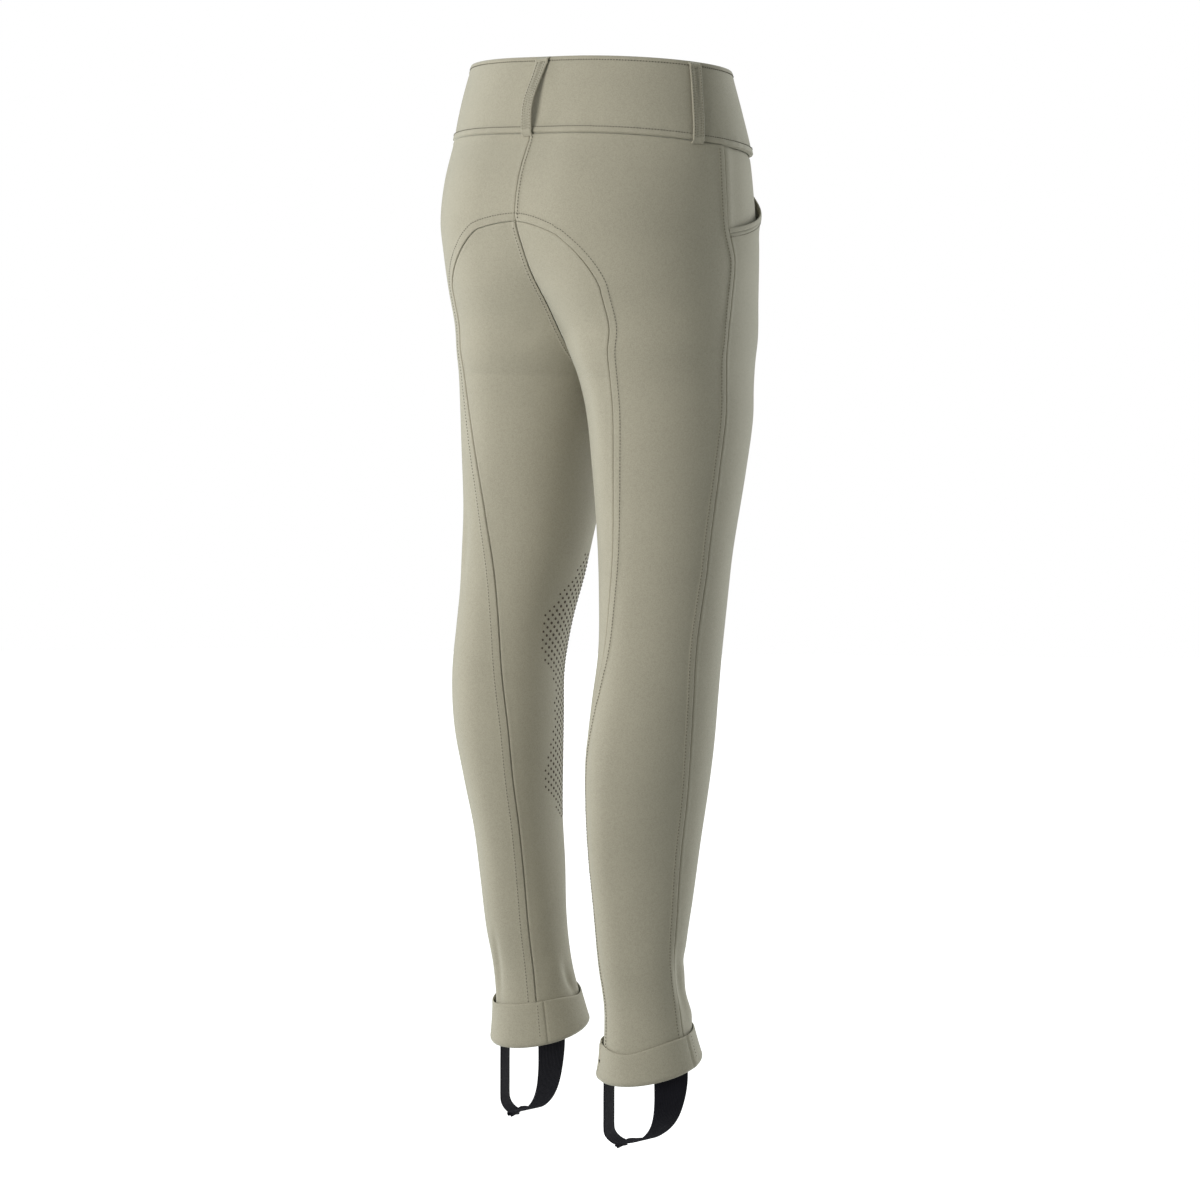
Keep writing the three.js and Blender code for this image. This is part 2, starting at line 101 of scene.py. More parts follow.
# Cross sections of one half, from the rim to the hem. cx, cy: centre. wo: half width outward. wf, wb: half
# widths inward, in the front and back halves. df, db: depths to the front and the back. turn: toes out,
# degrees. slope: rise per mm towards the back. roll: rise per mm sideways. lift: extra height of the left
# leg. side, rear: angles of the side and rear seams, counted from the inside of the leg through the front.
# lean: how far the seams lie round to the wearer's left, degrees, as the cloth is pulled on a little turned.
COLUMNS = ("z", "cx", "cy", "wo", "wf", "wb", "df", "db", "turn", "slope", "roll", "lift", "side", "rear",
           "lean")
SECTIONS = np.array([
    (34, 25, 0, 100, 400, 400, 79, 78, 0, 0.03, 0.06, 0, 187, 247, 0),
    (0, 30, -1, 102, 400, 400, 88, 87, 0, 0.04, 0.06, 0, 186, 247, 0),
    (-34, 35, -2, 104, 400, 380, 96, 95, 0, 0.05, 0.06, 0, 185, 247, 0),
    (-70, 38, -2, 103, 400, 340, 102, 111, 0, 0.03, 0.06, 0, 181, 247, 3),
    (-103, 41, -1, 100, 360, 220, 109, 116, 0, 0.01, 0.06, 0, 177, 247, 5),
    (-130, 47, 0, 93, 280, 150, 110, 107, 0, 0, 0.06, 0, 172, 247, 4.5),
    (-160, 53, 1, 85, 180, 96, 110, 96, 0, 0, 0.06, 0, 170, 248, 6.5),
    (-190, 60, 0, 77, 115, 82, 105, 84, 0, 0, 0.06, 0, 171, 250, 8),
    (-213, 64, -2, 71, 86, 72, 97, 84, 0, 0, 0.06, 0, 171.5, 253, 9),
    (-233, 67, -4, 68, 66.85, 66.85, 90, 81, 0, 0, 0.06, 0, 173, 256, 9),
    (-262, 70, -5, 66, 63, 63, 84, 77, 0, 0, 0.05, 1, 176, 260, 8),
    (-303, 73, -2, 61, 59, 59, 74, 72, 2, 0, 0.03, 5, 179, 264, 5.5),
    (-367, 76, 5, 54, 57, 54, 62, 62, 4, 0, 0.01, 10, 183, 272, 2),
    (-410, 78, 11, 50, 53, 50, 59, 59, 6, 0, 0, 12, 184, 279, -2),
    (-453, 81, 19, 47, 49, 47, 57, 57, 9, -0.05, 0, 12, 183, 286, -5),
    (-496, 81, 26, 46, 46, 47, 58, 58, 12, -0.08, 0, 12, 177, 293, -4),
    (-539, 78, 29, 45, 45, 46, 58, 58, 16, -0.12, 0, 12, 171, 297, -1.5),
    (-582, 74, 28, 41, 41, 41, 55, 55, 19, -0.15, 0, 12, 166, 297, 0),
    (-625, 70, 26, 37, 37, 36, 50, 50, 21, -0.18, 0, 12, 164, 297, 0),
    (-668, 67, 24, 36, 36, 35, 44, 44, 21, -0.21, 0, 12, 164, 296, 0),
    (-711, 64, 22, 35, 34, 34, 38, 38, 20, -0.24, 0, 12, 163, 295, 0),
    (-746, 61, 16, 35, 31, 31, 35, 35, 16, -0.26, 0, 12, 161, 296, 0),
    (-771, 60, 12, 36, 32, 32, 37, 37, 14, -0.27, 0, 12, 163, 297, 0),
    (-807, 60, 7, 41, 39, 40, 43, 42, 12, -0.28, 0, 12, 165, 297, 0),
], float)

# Soft folds of the cloth. side: 1 left, -1 right, 0 both. angle, tilt in degrees; tilt from level, rising
# with the angle. depth: positive stands out, negative sinks in.
FOLD_COLUMNS = ("side", "z", "angle", "length", "width", "tilt", "depth")
FOLDS = (
    # inner left ankle, outer left ankle, outer left thigh
    (1, -766, 0, 52, 6, -62, -3.2),
    (1, -752, 340, 40, 9, -50, 1.4),
    (1, -742, 236, 84, 4, 86, -1.3),
    (1, -748, 224, 90, 6, 86, 1.3),
    (1, -385, 238, 84, 6, 86, -0.9),
    (1, -390, 226, 90, 8, 84, 1.0),
    # back of the right thigh, down the inner side of the rear seam
    (-1, -250, 283, 150, 11, 88, 1.5),
    # right shin beside the side seam
    (-1, -738, 152, 90, 7, 84, -2.6),
    (-1, -764, 132, 60, 12, 30, 2.4),
    (-1, -720, 128, 46, 8, 24, -1.4),
    # under the seat and behind the knees
    (0, -196, 300, 44, 8, 48, -0.8),
    (1, -470, 262, 46, 9, -12, -0.5),
    (-1, -486, 276, 52, 10, 10, -0.5),
    # fronts: from the crotch to the hips, over the knees, over the insteps
    (0, -196, 44, 58, 8, 36, -1.6),
    (0, -212, 52, 44, 7, 20, 1.0),
    (1, -176, 40, 40, 7, 50, -1.0),
    (-1, -226, 62, 50, 8, 14, -1.1),
    (1, -462, 96, 46, 10, 14, -0.9),
    (-1, -474, 84, 54, 11, -10, -1.0),
    (1, -748, 92, 50, 7, 12, -1.8),
    (1, -764, 74, 42, 7, -8, 1.4),
    (-1, -752, 80, 56, 8, -14, -1.9),
    (-1, -772, 104, 40, 7, 10, 1.2),
)

SIDES = {"left": 1, "right": -1}
CUFF_HEIGHT = {"left": 34, "right": 28}

TURN = 2 * math.pi
EDGE_MARKS = np.array([
    0, 0.25, 0.5, 0.85, 1.5, 2.4, 3.0, 3.4, 3.8, 4.6, 5.4, 5.8, 6.2, 6.5, 6.9, 7.3, 8.2, 10.2,
])
STEP = 3.4  # distance between the cloth's grid lines


# ---- the body form ----

def slopes_of(table):
    above = np.vstack([table[:1], table[:-1]])
    below = np.vstack([table[1:], table[-1:]])
    return (below - above) / (below[:, :1] - above[:, :1])


SLOPES = slopes_of(SECTIONS)


def section(z):
    """Every named column at height z, on a smooth curve through the table."""
    z = np.asarray(z, float)
    i = np.clip(np.searchsorted(-SECTIONS[:, 0], -z, side="right") - 1, 0, len(SECTIONS) - 2)
    h = SECTIONS[i + 1, 0] - SECTIONS[i, 0]
    t = ((z - SECTIONS[i, 0]) / h)[..., None]
    h = h[..., None]
    values = (
        (2 * t**3 - 3 * t**2 + 1) * SECTIONS[i]
        + (t**3 - 2 * t**2 + t) * h * SLOPES[i]
        + (-2 * t**3 + 3 * t**2) * SECTIONS[i + 1]
        + (t**3 - t**2) * h * SLOPES[i + 1]
    )
    return dict(zip(COLUMNS, np.moveaxis(values, -1, 0)))


def ease(t):
    """0 below 0, 1 above 1, smooth between."""
    t = np.clip(t, 0, 1)
    return t * t * (3 - 2 * t)


def bell(x, width):
    return np.exp(-((x / width) ** 2))


def skin(side, z, angle):
    """Points of the outer face, before any offset.

    Angle 0 is the inside of the leg, a quarter turn the front.
    """
    z, angle = np.broadcast_arrays(np.asarray(z, float), np.asarray(angle, float))
    s = section(z)
    c, q = np.cos(angle), np.sin(angle)
    front = np.where(z > CROTCH_Z, q > 0, ease(q + 0.5))
    inward = s["wb"] + (s["wf"] - s["wb"]) * front
    dx = -np.where(c > 0, inward, s["wo"]) * c
    dy = -np.where(q > 0, s["df"], s["db"]) * q
    turn = np.radians(s["turn"])
    x = s["cx"] + dx * np.cos(turn) - dy * np.sin(turn)
    y = s["cy"] + dx * np.sin(turn) + dy * np.cos(turn)
    up = z + s["slope"] * (y - s["cy"]) + side * (s["roll"] * x + s["lift"])
    return np.stack([side * x, y, up], -1)


def unit(v):
    return v / np.maximum(np.linalg.norm(v, axis=-1, keepdims=True), 1e-9)


def directions(side, z, angle):
    """How a point of the skin moves per mm of height and per radian."""
    d = 0.004
    by_z = skin(side, z + 0.5, angle) - skin(side, z - 0.5, angle)
    by_angle = (skin(side, z, angle + d) - skin(side, z, angle - d)) / (2 * d)
    return by_z, by_angle


def outward(side, z, angle):
    by_z, by_angle = directions(side, z, angle)
    return unit(side * np.cross(by_angle, by_z))


def on_body(side, z, angle, offset=0.0):
    n = outward(side, z, angle)
    return skin(side, z, angle) + n * np.asarray(offset, float)[..., None], n


def limits(z, gap=HALF_GAP):
    """Angles where a level leaves the centre plane at the front and comes back to it at the back."""
    s = section(z)
    near = s["cx"] - gap
    front = np.where(s["wf"] > near + 1e-6, np.arccos(np.clip(near / s["wf"], -1, 1)), 0)
    back = np.where(s["wb"] > near + 1e-6, np.arccos(np.clip(near / s["wb"], -1, 1)), 0)
    return front, TURN - back


def side_angle(side, z):
    s = section(z)
    return np.radians(s["side"] - side * np.maximum(0, s["lean"]))


def rear_angle(side, z):
    s = section(z)
    return np.radians(s["rear"] - side * s["lean"])


def per_radian(side, z, angle):
    return np.linalg.norm(directions(side, z, angle)[1], axis=-1)


# ---- paths over the skin: rows of (height, angle) ----

def path(z, angle):
    z, angle = np.broadcast_arrays(np.asarray(z, float), np.asarray(angle, float))
    return np.stack([z, angle], -1)


def length_along(side, way):
    points = skin(side, way[:, 0], way[:, 1])
    return np.concatenate([[0], np.cumsum(np.linalg.norm(np.diff(points, axis=0), axis=1))])


def pick(side, way, distances):
    """The path's points at these distances from its start."""
    so_far = length_along(side, way)
    return np.stack([np.interp(distances, so_far, way[:, k]) for k in (0, 1)], -1)


def marks(length, step=STEP, start=EDGE_MARKS, end=()):
    """Distances from 0 to length: close together at a sewn end, a step apart elsewhere."""
    start = np.asarray(start if len(start) else [0.0])
    end = np.asarray(end if len(end) else [0.0])
    room = length - start[-1] - end[-1]
    middle = np.linspace(0, room, max(2, int(round(room / step)) + 1))[1:-1] + start[-1]
    return np.concatenate([start, middle, length - end[::-1]])


def beside(side, way, distance):
    """A path moved sideways over the skin, by rising angle where the distance is positive."""
    z, angle = way[:, 0], way[:, 1]
    points = skin(side, z, angle)
    along = unit(np.gradient(points, axis=0))
    across = side * np.cross(outward(side, z, angle), along) * distance
    by_z, by_angle = directions(side, z, angle)
    zz, za, aa = (np.sum(u * v, -1) for u, v in ((by_z, by_z), (by_z, by_angle), (by_angle, by_angle)))
    pz, pa = np.sum(across * by_z, -1), np.sum(across * by_angle, -1)
    det = zz * aa - za * za
    return path(z + (pz * aa - pa * za) / det, angle + (pa * zz - pz * za) / det)


def arch_way(side):
    """The arched seat seam, from the centre back to where it has become upright."""
    s = np.linspace(0, 1, 240)
    z = ARCH_FOOT_Z + (ARCH_TOP_Z - ARCH_FOOT_Z) * (1 - s**1.5) ** (2 / 3)
    upright = rear_angle(side, z)
    return path(z, upright + (limits(z)[1] - upright) * (1 - s))


def rear_way(side):
    """The arched seam and the rear seam of the leg below it."""
    z = np.linspace(ARCH_FOOT_Z, HEM_Z, 500)[1:]
    return np.vstack([arch_way(side), path(z, rear_angle(side, z))])


def side_way(side, top=WAIST_Z):
    z = np.linspace(top, HEM_Z, 600)
    return path(z, side_angle(side, z))


def centre_back_way():
    z = np.linspace(WAIST_Z, ARCH_TOP_Z, 80)
    return path(z, limits(z)[1])


def crotch_way():
    """From the seat arch down under the crotch."""
    z = np.linspace(ARCH_TOP_Z, CROTCH_Z, 200)
    return path(z, limits(z)[1])


def centre_front_way():
    z = np.linspace(WAIST_Z, CROTCH_Z, 260)
    return path(z, limits(z)[0])


def waist_way():
    angle = np.linspace(0.02, TURN - 0.02, 400)
    return path(np.full_like(angle, WAIST_Z), angle)


def pocket_way(side, grow=0.0):
    """Pocket opening, a scoop from the waist to the side seam; grow widens it."""
    turn = np.linspace(0, math.pi / 2, 160)
    z = WAIST_Z - (WAIST_Z - POCKET_FOOT_Z + grow) * np.sin(0.8 * turn) / math.sin(0.4 * math.pi)
    start = math.radians(POCKET_ANGLE) - grow / 108
    return path(z, start + (side_angle(side, z) - start) * (1 - np.cos(turn)))


class Seam:
    """A line that cloth is measured from."""

    spacing = 0.5

    def __init__(self, side, way):
        self.side = side
        self.length = length_along(side, way)[-1]
        self.way = pick(side, way, np.arange(0, self.length, self.spacing))
        self.points = skin(side, self.way[:, 0], self.way[:, 1])
        self.tangents = unit(np.gradient(self.points, axis=0))
        self.tree = KDTree(len(self.points))
        for i, p in enumerate(self.points):
            self.tree.insert(p, i)
        self.tree.balance()

    def measure(self, points):
        """(distance from the seam, distance along it) of each point, in millimetres."""
        index = np.array([self.tree.find(p)[1] for p in points])
        away = points - self.points[index]
        along = np.sum(away * self.tangents[index], -1)
        along = np.clip(along, -self.spacing, self.spacing)
        across = np.linalg.norm(away - along[:, None] * self.tangents[index], axis=-1)
        return across, index * self.spacing + along


# ---- how the cloth rises and sinks ----

def ripple(s, seed):
    """Uneven small waves along a seam, about -1 to 1."""
    waves = np.sin(s / 2.1 + seed) + 0.8 * np.sin(s / 3.7 + 2.2 * seed) + 0.6 * np.sin(s / 8.3 + 0.7 * seed)
    return waves / 2.4


def soft_folds(side, z, angle):
    """The listed folds and a faint unevenness, in mm outward."""
    height = 0.22 * np.sin(z / 31 + 2 * angle + side) * np.sin(z / 47 - angle)
    spread = per_radian(side, z, angle)
    for row in FOLDS:
        fold = dict(zip(FOLD_COLUMNS, row))
        if fold["side"] not in (0, side):
            continue
        turn = (angle - math.radians(fold["angle"]) + math.pi) % TURN - math.pi
        across = turn * spread
        up = z - fold["z"]
        c, s = math.cos(math.radians(fold["tilt"])), math.sin(math.radians(fold["tilt"]))
        u = across * c + up * s
        v = -across * s + up * c
        reach = np.clip(1 - (u / (fold["length"] / 2)) ** 2, 0, 1) ** 1.5
        height = height + fold["depth"] * reach * bell(v, fold["width"])
    return height


def tucked(d):
    """A cut edge that turns in at its seam."""
    return -1.25 * (1 - ease(d / 0.8))


def felled(d, s, seed, groove):
    """The raised strip over the seam allowances, out to its row of stitches."""
    strip = ease(d / 0.6) * (1 - ease((d - groove + 0.5) / 2.2))
    pucker = 0.2 * ripple(s, seed) * bell(d - 0.6 * groove, 0.45 * groove)
    return (0.62 + pucker) * strip - 0.16 * bell(d - groove, 0.6)


def plain(d, s, seed):
    """The flat side of a seam: a slight swell over the fold."""
    return 0.18 * (1 + 0.8 * ripple(s, seed)) * bell(d - 2.4, 1.6)


class Relief:
    """Heights of one panel: folds, seams with a raised strip (seam, its width), and plain seams."""

    def __init__(self, side, raised=(), flat=(), gape=None):
        self.side, self.raised, self.flat, self.gape = side, raised, flat, gape

    def __call__(self, z, angle):
        shape = np.shape(z)
        z, angle = np.ravel(z), np.ravel(angle)
        base = skin(self.side, z, angle)
        height = soft_folds(self.side, z, angle)
        edge = np.zeros_like(z)
        for seed, (seam, groove) in enumerate(self.raised):
            d, s = seam.measure(base)
            height += felled(d, s, seed + self.side, groove)
            edge = np.minimum(edge, tucked(d))
        for seed, seam in enumerate(self.flat):
            d, s = seam.measure(base)
            height += plain(d, s, 5 + seed + self.side)
            edge = np.minimum(edge, tucked(d))
        if self.gape is not None:
            d, s = self.gape.measure(base)
            opening = POCKET_GAPE * np.sin(math.pi * np.clip(s / self.gape.length, 0, 1)) ** 2
            height += opening * np.clip(1 - d / 20, 0, 1) ** 2
            height += 0.35 * bell(d - 1.6, 1.1) - 0.15 * bell(d - 3.4, 0.6)
            edge = np.minimum(edge, 0.75 * tucked(d))
        return (height + edge).reshape(shape)


# ---- meshes ----

def add_object(name, verts, faces, uvs=None, sharp=50):
    """An object in metres from points in millimetres. uvs: one pair per face corner, in metres."""
    mesh = bpy.data.meshes.new(name)
    mesh.from_pydata((np.asarray(verts) * MM).tolist(), [], faces)
    if uvs is not None:
        layer = mesh.uv_layers.new(name="cloth")
        layer.uv.foreach_set("vector", np.asarray(uvs, np.float32).ravel())
    mesh.shade_smooth()
    mesh.set_sharp_from_angle(angle=math.radians(sharp))
    mesh.validate()
    obj = bpy.data.objects.new(name, mesh)
    bpy.context.scene.collection.objects.link(obj)
    return obj


def columns_between(side, z0, a0, z1, a1, count, start=EDGE_MARKS, end=EDGE_MARKS):
    """Rows of heights and angles from one edge to the other, close together near both edges."""
    s0, s1 = per_radian(side, z0, a0), per_radian(side, z1, a1)
    room = (a1 - a0) * (s0 + s1) / 2
    total = start[-1] + end[-1]
    squeeze = np.clip(room / (1.6 * total), 0, 1)[:, None]
    left = a0[:, None] + start * squeeze / s0[:, None]
    right = a1[:, None] - end[::-1] * squeeze / s1[:, None]
    share = np.linspace(0, 1, count + 2)[1:-1]
    middle = left[:, -1:] + (right[:, :1] - left[:, -1:]) * share
    angle = np.hstack([left, middle, right])
    width = np.where(a1 > a0 + 1e-9, a1 - a0, 1)[:, None]
    part = np.clip((angle - a0[:, None]) / width, 0, 1)
    z = z0[:, None] + (z1 - z0)[:, None] * part
    return z, angle


def row_lengths(side, z, angle):
    points = skin(side, z, angle)
    steps = np.linalg.norm(np.diff(points, axis=1), axis=-1)
    return np.hstack([np.zeros((len(z), 1)), np.cumsum(steps, 1)])


def cloth_wall(name, side, grids, relief, thickness=CLOTH):
    """A closed thin shell from grids of (heights, angles, distance across the grain)."""
    outer, normals, flat, quads = [], [], [], []
    count = 0
    for z, angle, across in grids:
        points, n = on_body(side, z, angle, relief(z, angle))
        outer.append(points.reshape(-1, 3))
        normals.append(n.reshape(-1, 3))
        flat.append(np.stack([across, z], -1).reshape(-1, 2) * MM)
        index = count + np.arange(z.size).reshape(z.shape)
        corners = (index[:-1, :-1], index[1:, :-1], index[1:, 1:], index[:-1, 1:])
        quads.append(np.stack(corners, -1).reshape(-1, 4))
        count += z.size
    outer, normals, flat, quads = map(np.concatenate, (outer, normals, flat, quads))
    _, first, same = np.unique(np.round(outer, 2), axis=0, return_index=True, return_inverse=True)
    outer, normals, flat = outer[first], normals[first], flat[first]
    quads = same.ravel()[quads]
    if side < 0:
        quads = quads[:, ::-1]
    faces = []
    for quad in quads.tolist():
        corners = [v for k, v in enumerate(quad) if v != quad[k - 1]]
        if len(set(corners)) == len(corners) and len(corners) > 2:
            faces.append(corners)
    return shell(name, outer, outer - normals * thickness, faces, flat)


def shell(name, outer, inner, faces, flat):
    """Joins an outer and an inner sheet of the same faces round their open edges."""
    count = len(outer)
    edges = {(face[k - 1], v) for face in faces for k, v in enumerate(face)}
    rim = [(a, b) for a, b in edges if (b, a) not in edges]
    every = list(faces)
    every += [[v + count for v in reversed(face)] for face in faces]
    every += [[b, a, a + count, b + count] for a, b in sorted(rim)]
    twice = np.vstack([flat, flat])
    corners = np.fromiter((v for face in every for v in face), int)
    return add_object(name, np.vstack([outer, inner]), every, twice[corners])


def loft(name, *bodies, closed=False, sharp=50):
    """A skin over the rings of each body; each ring is closed, and so is the whole where closed is set."""
    verts, faces, uvs = [], [], []
    start = 0
    for rings in bodies:
        rings = np.asarray(rings, float)
        rows, count = rings.shape[:2]
        around = np.linalg.norm(np.diff(rings, axis=1, append=rings[:, :1]), axis=-1).mean(0)
        along = np.linalg.norm(np.diff(rings, axis=0, append=rings[:1]), axis=-1).mean(1)
        u = np.concatenate([[0], np.cumsum(around)]) * MM
        v = np.concatenate([[0], np.cumsum(along)]) * MM
        i, j = np.meshgrid(np.arange(rows if closed else rows - 1), np.arange(count), indexing="ij")
        i, j = i.ravel(), j.ravel()
        i2, j2 = (i + 1) % rows, (j + 1) % count
        quads = np.stack([i * count + j, i2 * count + j, i2 * count + j2, i * count + j2], -1)
        flat = np.stack([np.stack([u[j], v[i]], -1), np.stack([u[j], v[i + 1]], -1),
                         np.stack([u[j + 1], v[i + 1]], -1), np.stack([u[j + 1], v[i]], -1)], 1)
        points = rings.reshape(-1, 3)
        corners = (points - points.mean(0))[quads]
        volume = np.sum(corners[:, 0] * np.cross(corners[:, 1], corners[:, 2]))
        volume += np.sum(corners[:, 0] * np.cross(corners[:, 2], corners[:, 3]))
        body = quads.tolist()
        spots = flat.tolist()
        if not closed:
            first = list(range(count))
            body += [first[::-1], [(rows - 1) * count + k for k in first]]
            spots += [[(u[k], 0) for k in first]] * 2
        if volume < 0:
            body = [face[::-1] for face in body]
            spots = [spot[::-1] for spot in spots]
        faces += [[k + start for k in face] for face in body]
        uvs += [pair for spot in spots for pair in spot]
        verts.append(points)
        start += len(points)
    return add_object(name, np.concatenate(verts), faces, uvs, sharp)


def thread(name, runs, pitch, length, radius):
    """Short sunk stitches along runs of (points, normals) sampled closely, as one mesh."""
    heights = np.array([-1.5, 0.55, 1.0, 0.55, -1.5]) * radius
    shares = np.array([-0.5, -0.26, 0, 0.26, 0.5])
    sides = 5
    ring = np.arange(sides) * TURN / sides
    verts, faces = [], []
    for points, normals in runs:
        so_far = np.concatenate([[0], np.cumsum(np.linalg.norm(np.diff(points, axis=0), axis=1))])
        centres = np.arange(pitch * 0.6, so_far[-1] - pitch * 0.5, pitch)
        for number, centre in enumerate(centres):
            reach = length * (1 + 0.08 * math.sin(2.7 * number))
            at = centre + shares * reach
            p = np.stack([np.interp(at, so_far, points[:, k]) for k in range(3)], -1)
            n = unit(np.stack([np.interp(at, so_far, normals[:, k]) for k in range(3)], -1))
            p = p + n * heights[:, None]
            along = unit(np.gradient(p, axis=0))
            across = unit(np.cross(along, n))
            up = np.cross(across, along)
            circle = across[:, None] * np.cos(ring)[None, :, None] + up[:, None] * np.sin(ring)[None, :, None]
            base = len(verts) * len(shares) * sides
            verts.append((p[:, None] + circle * radius).reshape(-1, 3))
            for i in range(len(shares) - 1):
                for j in range(sides):
                    a, b = base + i * sides + j, base + i * sides + (j + 1) % sides
                    faces.append([a, b, b + sides, a + sides])
            faces.append([base + j for j in reversed(range(sides))])
            faces.append([base + (len(shares) - 1) * sides + j for j in range(sides)])
    return add_object(name, np.concatenate(verts), faces, sharp=180)


def thread_run(side, way, relief, step=0.8, offset=0.0):
    """Points and normals close together along a path over the finished cloth."""
    way = pick(side, way, np.arange(0, length_along(side, way)[-1], step))
    return on_body(side, way[:, 0], way[:, 1], relief(way[:, 0], way[:, 1]) + offset)


def finish_piece(obj, material, slot, *nodes):
    obj.data.materials.append(material)
    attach(obj, "root")
    if nodes:
        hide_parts(*nodes)
    return obj


def sew(context, name, runs, closer=1, thicker=1):
    """Rows of stitches in the sewing thread, its colour darkened as painted shade of the needle holes, at the
    set sizes or closer and thicker by a share.
    """
    stitch = context.scene.jodhpurs_stitch
    pitch, length = stitch.pitch / MM * closer, stitch.length / MM * closer
    sewing = thread(name, runs, pitch, length, stitch.radius / MM * thicker)
    return finish_piece(sewing, thread_material(context.scene.jodhpurs_cloth), "cloth")


# ---- shader groups ----

def group_of(name, inputs, outputs):
    """A new shader node group with its sockets: inputs {name: (kind, default)}, outputs {name: kind}."""
    group = bpy.data.node_groups.new(name, "ShaderNodeTree")
    for label, (kind, value) in inputs.items():
        socket = group.interface.new_socket(label, in_out="INPUT", socket_type=f"NodeSocket{kind}")
        if value is not None:
            socket.default_value = value
    for label, kind in outputs.items():
        group.interface.new_socket(label, in_out="OUTPUT", socket_type=f"NodeSocket{kind}")
    return group, group.nodes.new("NodeGroupInput"), group.nodes.new("NodeGroupOutput")


def math_node(tree, operation, a, b=None, clamp=False):
    node = tree.nodes.new("ShaderNodeMath")
    node.operation = operation
    node.use_clamp = clamp
    for socket, value in zip(node.inputs, (a, b)):
        if value is None:
            continue
        if isinstance(value, bpy.types.NodeSocket):
            tree.links.new(value, socket)
        else:
            socket.default_value = value
    return node.outputs[0]


def weave_group():
    """Fine slanting ribs of a stretch twill, with fuzz over them."""
    group, start, end = group_of(
        "stretch_twill",
        {
            "Flat": ("Vector", None),
            "Place": ("Vector", None),
            "Ribs per metre": ("Float", 1500.0),
            "Fuzz": ("Float", 0.5),
        },
        {"Height": "Float", "Rib": "Float"},
    )
    tree = group
    split = tree.nodes.new("ShaderNodeSeparateXYZ")
    tree.links.new(start.outputs["Flat"], split.inputs[0])
    slanted = math_node(tree, "ADD", math_node(tree, "MULTIPLY", split.outputs["X"], 0.9),
                        math_node(tree, "MULTIPLY", split.outputs["Y"], 0.45))
    turns = math_node(tree, "MULTIPLY", slanted, start.outputs["Ribs per metre"])
    wobble = tree.nodes.new("ShaderNodeTexNoise")
    wobble.inputs["Scale"].default_value = 900
    wobble.inputs["Detail"].default_value = 2
    tree.links.new(start.outputs["Place"], wobble.inputs["Vector"])
    turns = math_node(tree, "ADD", turns, math_node(tree, "MULTIPLY", wobble.outputs["Fac"], 0.6))
    rib = math_node(tree, "SINE", math_node(tree, "MULTIPLY", turns, TURN))
    cross = math_node(tree, "SINE", math_node(tree, "MULTIPLY", split.outputs["Y"], 1900 * TURN))
    both = math_node(tree, "ADD", rib, math_node(tree, "MULTIPLY", cross, 0.45))
    fuzz = tree.nodes.new("ShaderNodeTexNoise")
    fuzz.inputs["Scale"].default_value = 1700
    fuzz.inputs["Detail"].default_value = 3
    fuzz.inputs["Roughness"].default_value = 0.7
    tree.links.new(start.outputs["Place"], fuzz.inputs["Vector"])
    uneven = math_node(tree, "SUBTRACT", fuzz.outputs["Fac"], 0.5)
    rough = math_node(tree, "MULTIPLY", uneven, start.outputs["Fuzz"])
    ribbed = math_node(tree, "MULTIPLY", both, 0.3)
    height = math_node(tree, "ADD", ribbed, math_node(tree, "MULTIPLY", rough, 4.0))
    tree.links.new(height, end.inputs["Height"])
    shade = math_node(tree, "ADD", math_node(tree, "MULTIPLY", both, 0.3), 0.5, clamp=True)
    tree.links.new(shade, end.inputs["Rib"])
    return group


def mottle_group():
    """Uneven dye and grain: a colour that wanders about the cloth's own."""
    group, start, end = group_of(
        "dye_mottle",
        {
            "Place": ("Vector", None),
            "Colour": ("Color", (0.4, 0.37, 0.28, 1)),
            "Deep": ("Color", (0.35, 0.32, 0.24, 1)),
            "Rib": ("Float", 0.5),
            "Amount": ("Float", 1.0),
        },
        {"Colour": "Color", "Roughness": "Float"},
    )
    total = None
    for scale, detail, weight in ((26, 2, 0.3), (420, 3, 0.5), (1100, 2, 1.5)):
        noise = group.nodes.new("ShaderNodeTexNoise")
        noise.inputs["Scale"].default_value = scale
        noise.inputs["Detail"].default_value = detail
        group.links.new(start.outputs["Place"], noise.inputs["Vector"])
        part = math_node(group, "MULTIPLY", math_node(group, "SUBTRACT", noise.outputs["Fac"], 0.5), weight)
        total = part if total is None else math_node(group, "ADD", total, part)
    rib = math_node(group, "MULTIPLY", math_node(group, "SUBTRACT", 0.5, start.outputs["Rib"]), 0.5)
    total = math_node(group, "MULTIPLY", math_node(group, "ADD", total, rib), start.outputs["Amount"])
    share = math_node(group, "ADD", total, 0.35, clamp=True)
    mix = group.nodes.new("ShaderNodeMix")
    mix.data_type = "RGBA"
    group.links.new(share, mix.inputs["Factor"])
    group.links.new(start.outputs["Colour"], mix.inputs["A"])
    group.links.new(start.outputs["Deep"], mix.inputs["B"])
    group.links.new(mix.outputs["Result"], end.inputs["Colour"])
    roughness = math_node(group, "ADD", math_node(group, "MULTIPLY", share, 0.12), 0.8)
    group.links.new(roughness, end.inputs["Roughness"])
    return group


def placed(tree, group):
    node = tree.nodes.new("ShaderNodeGroup")
    node.node_tree = group
    return node


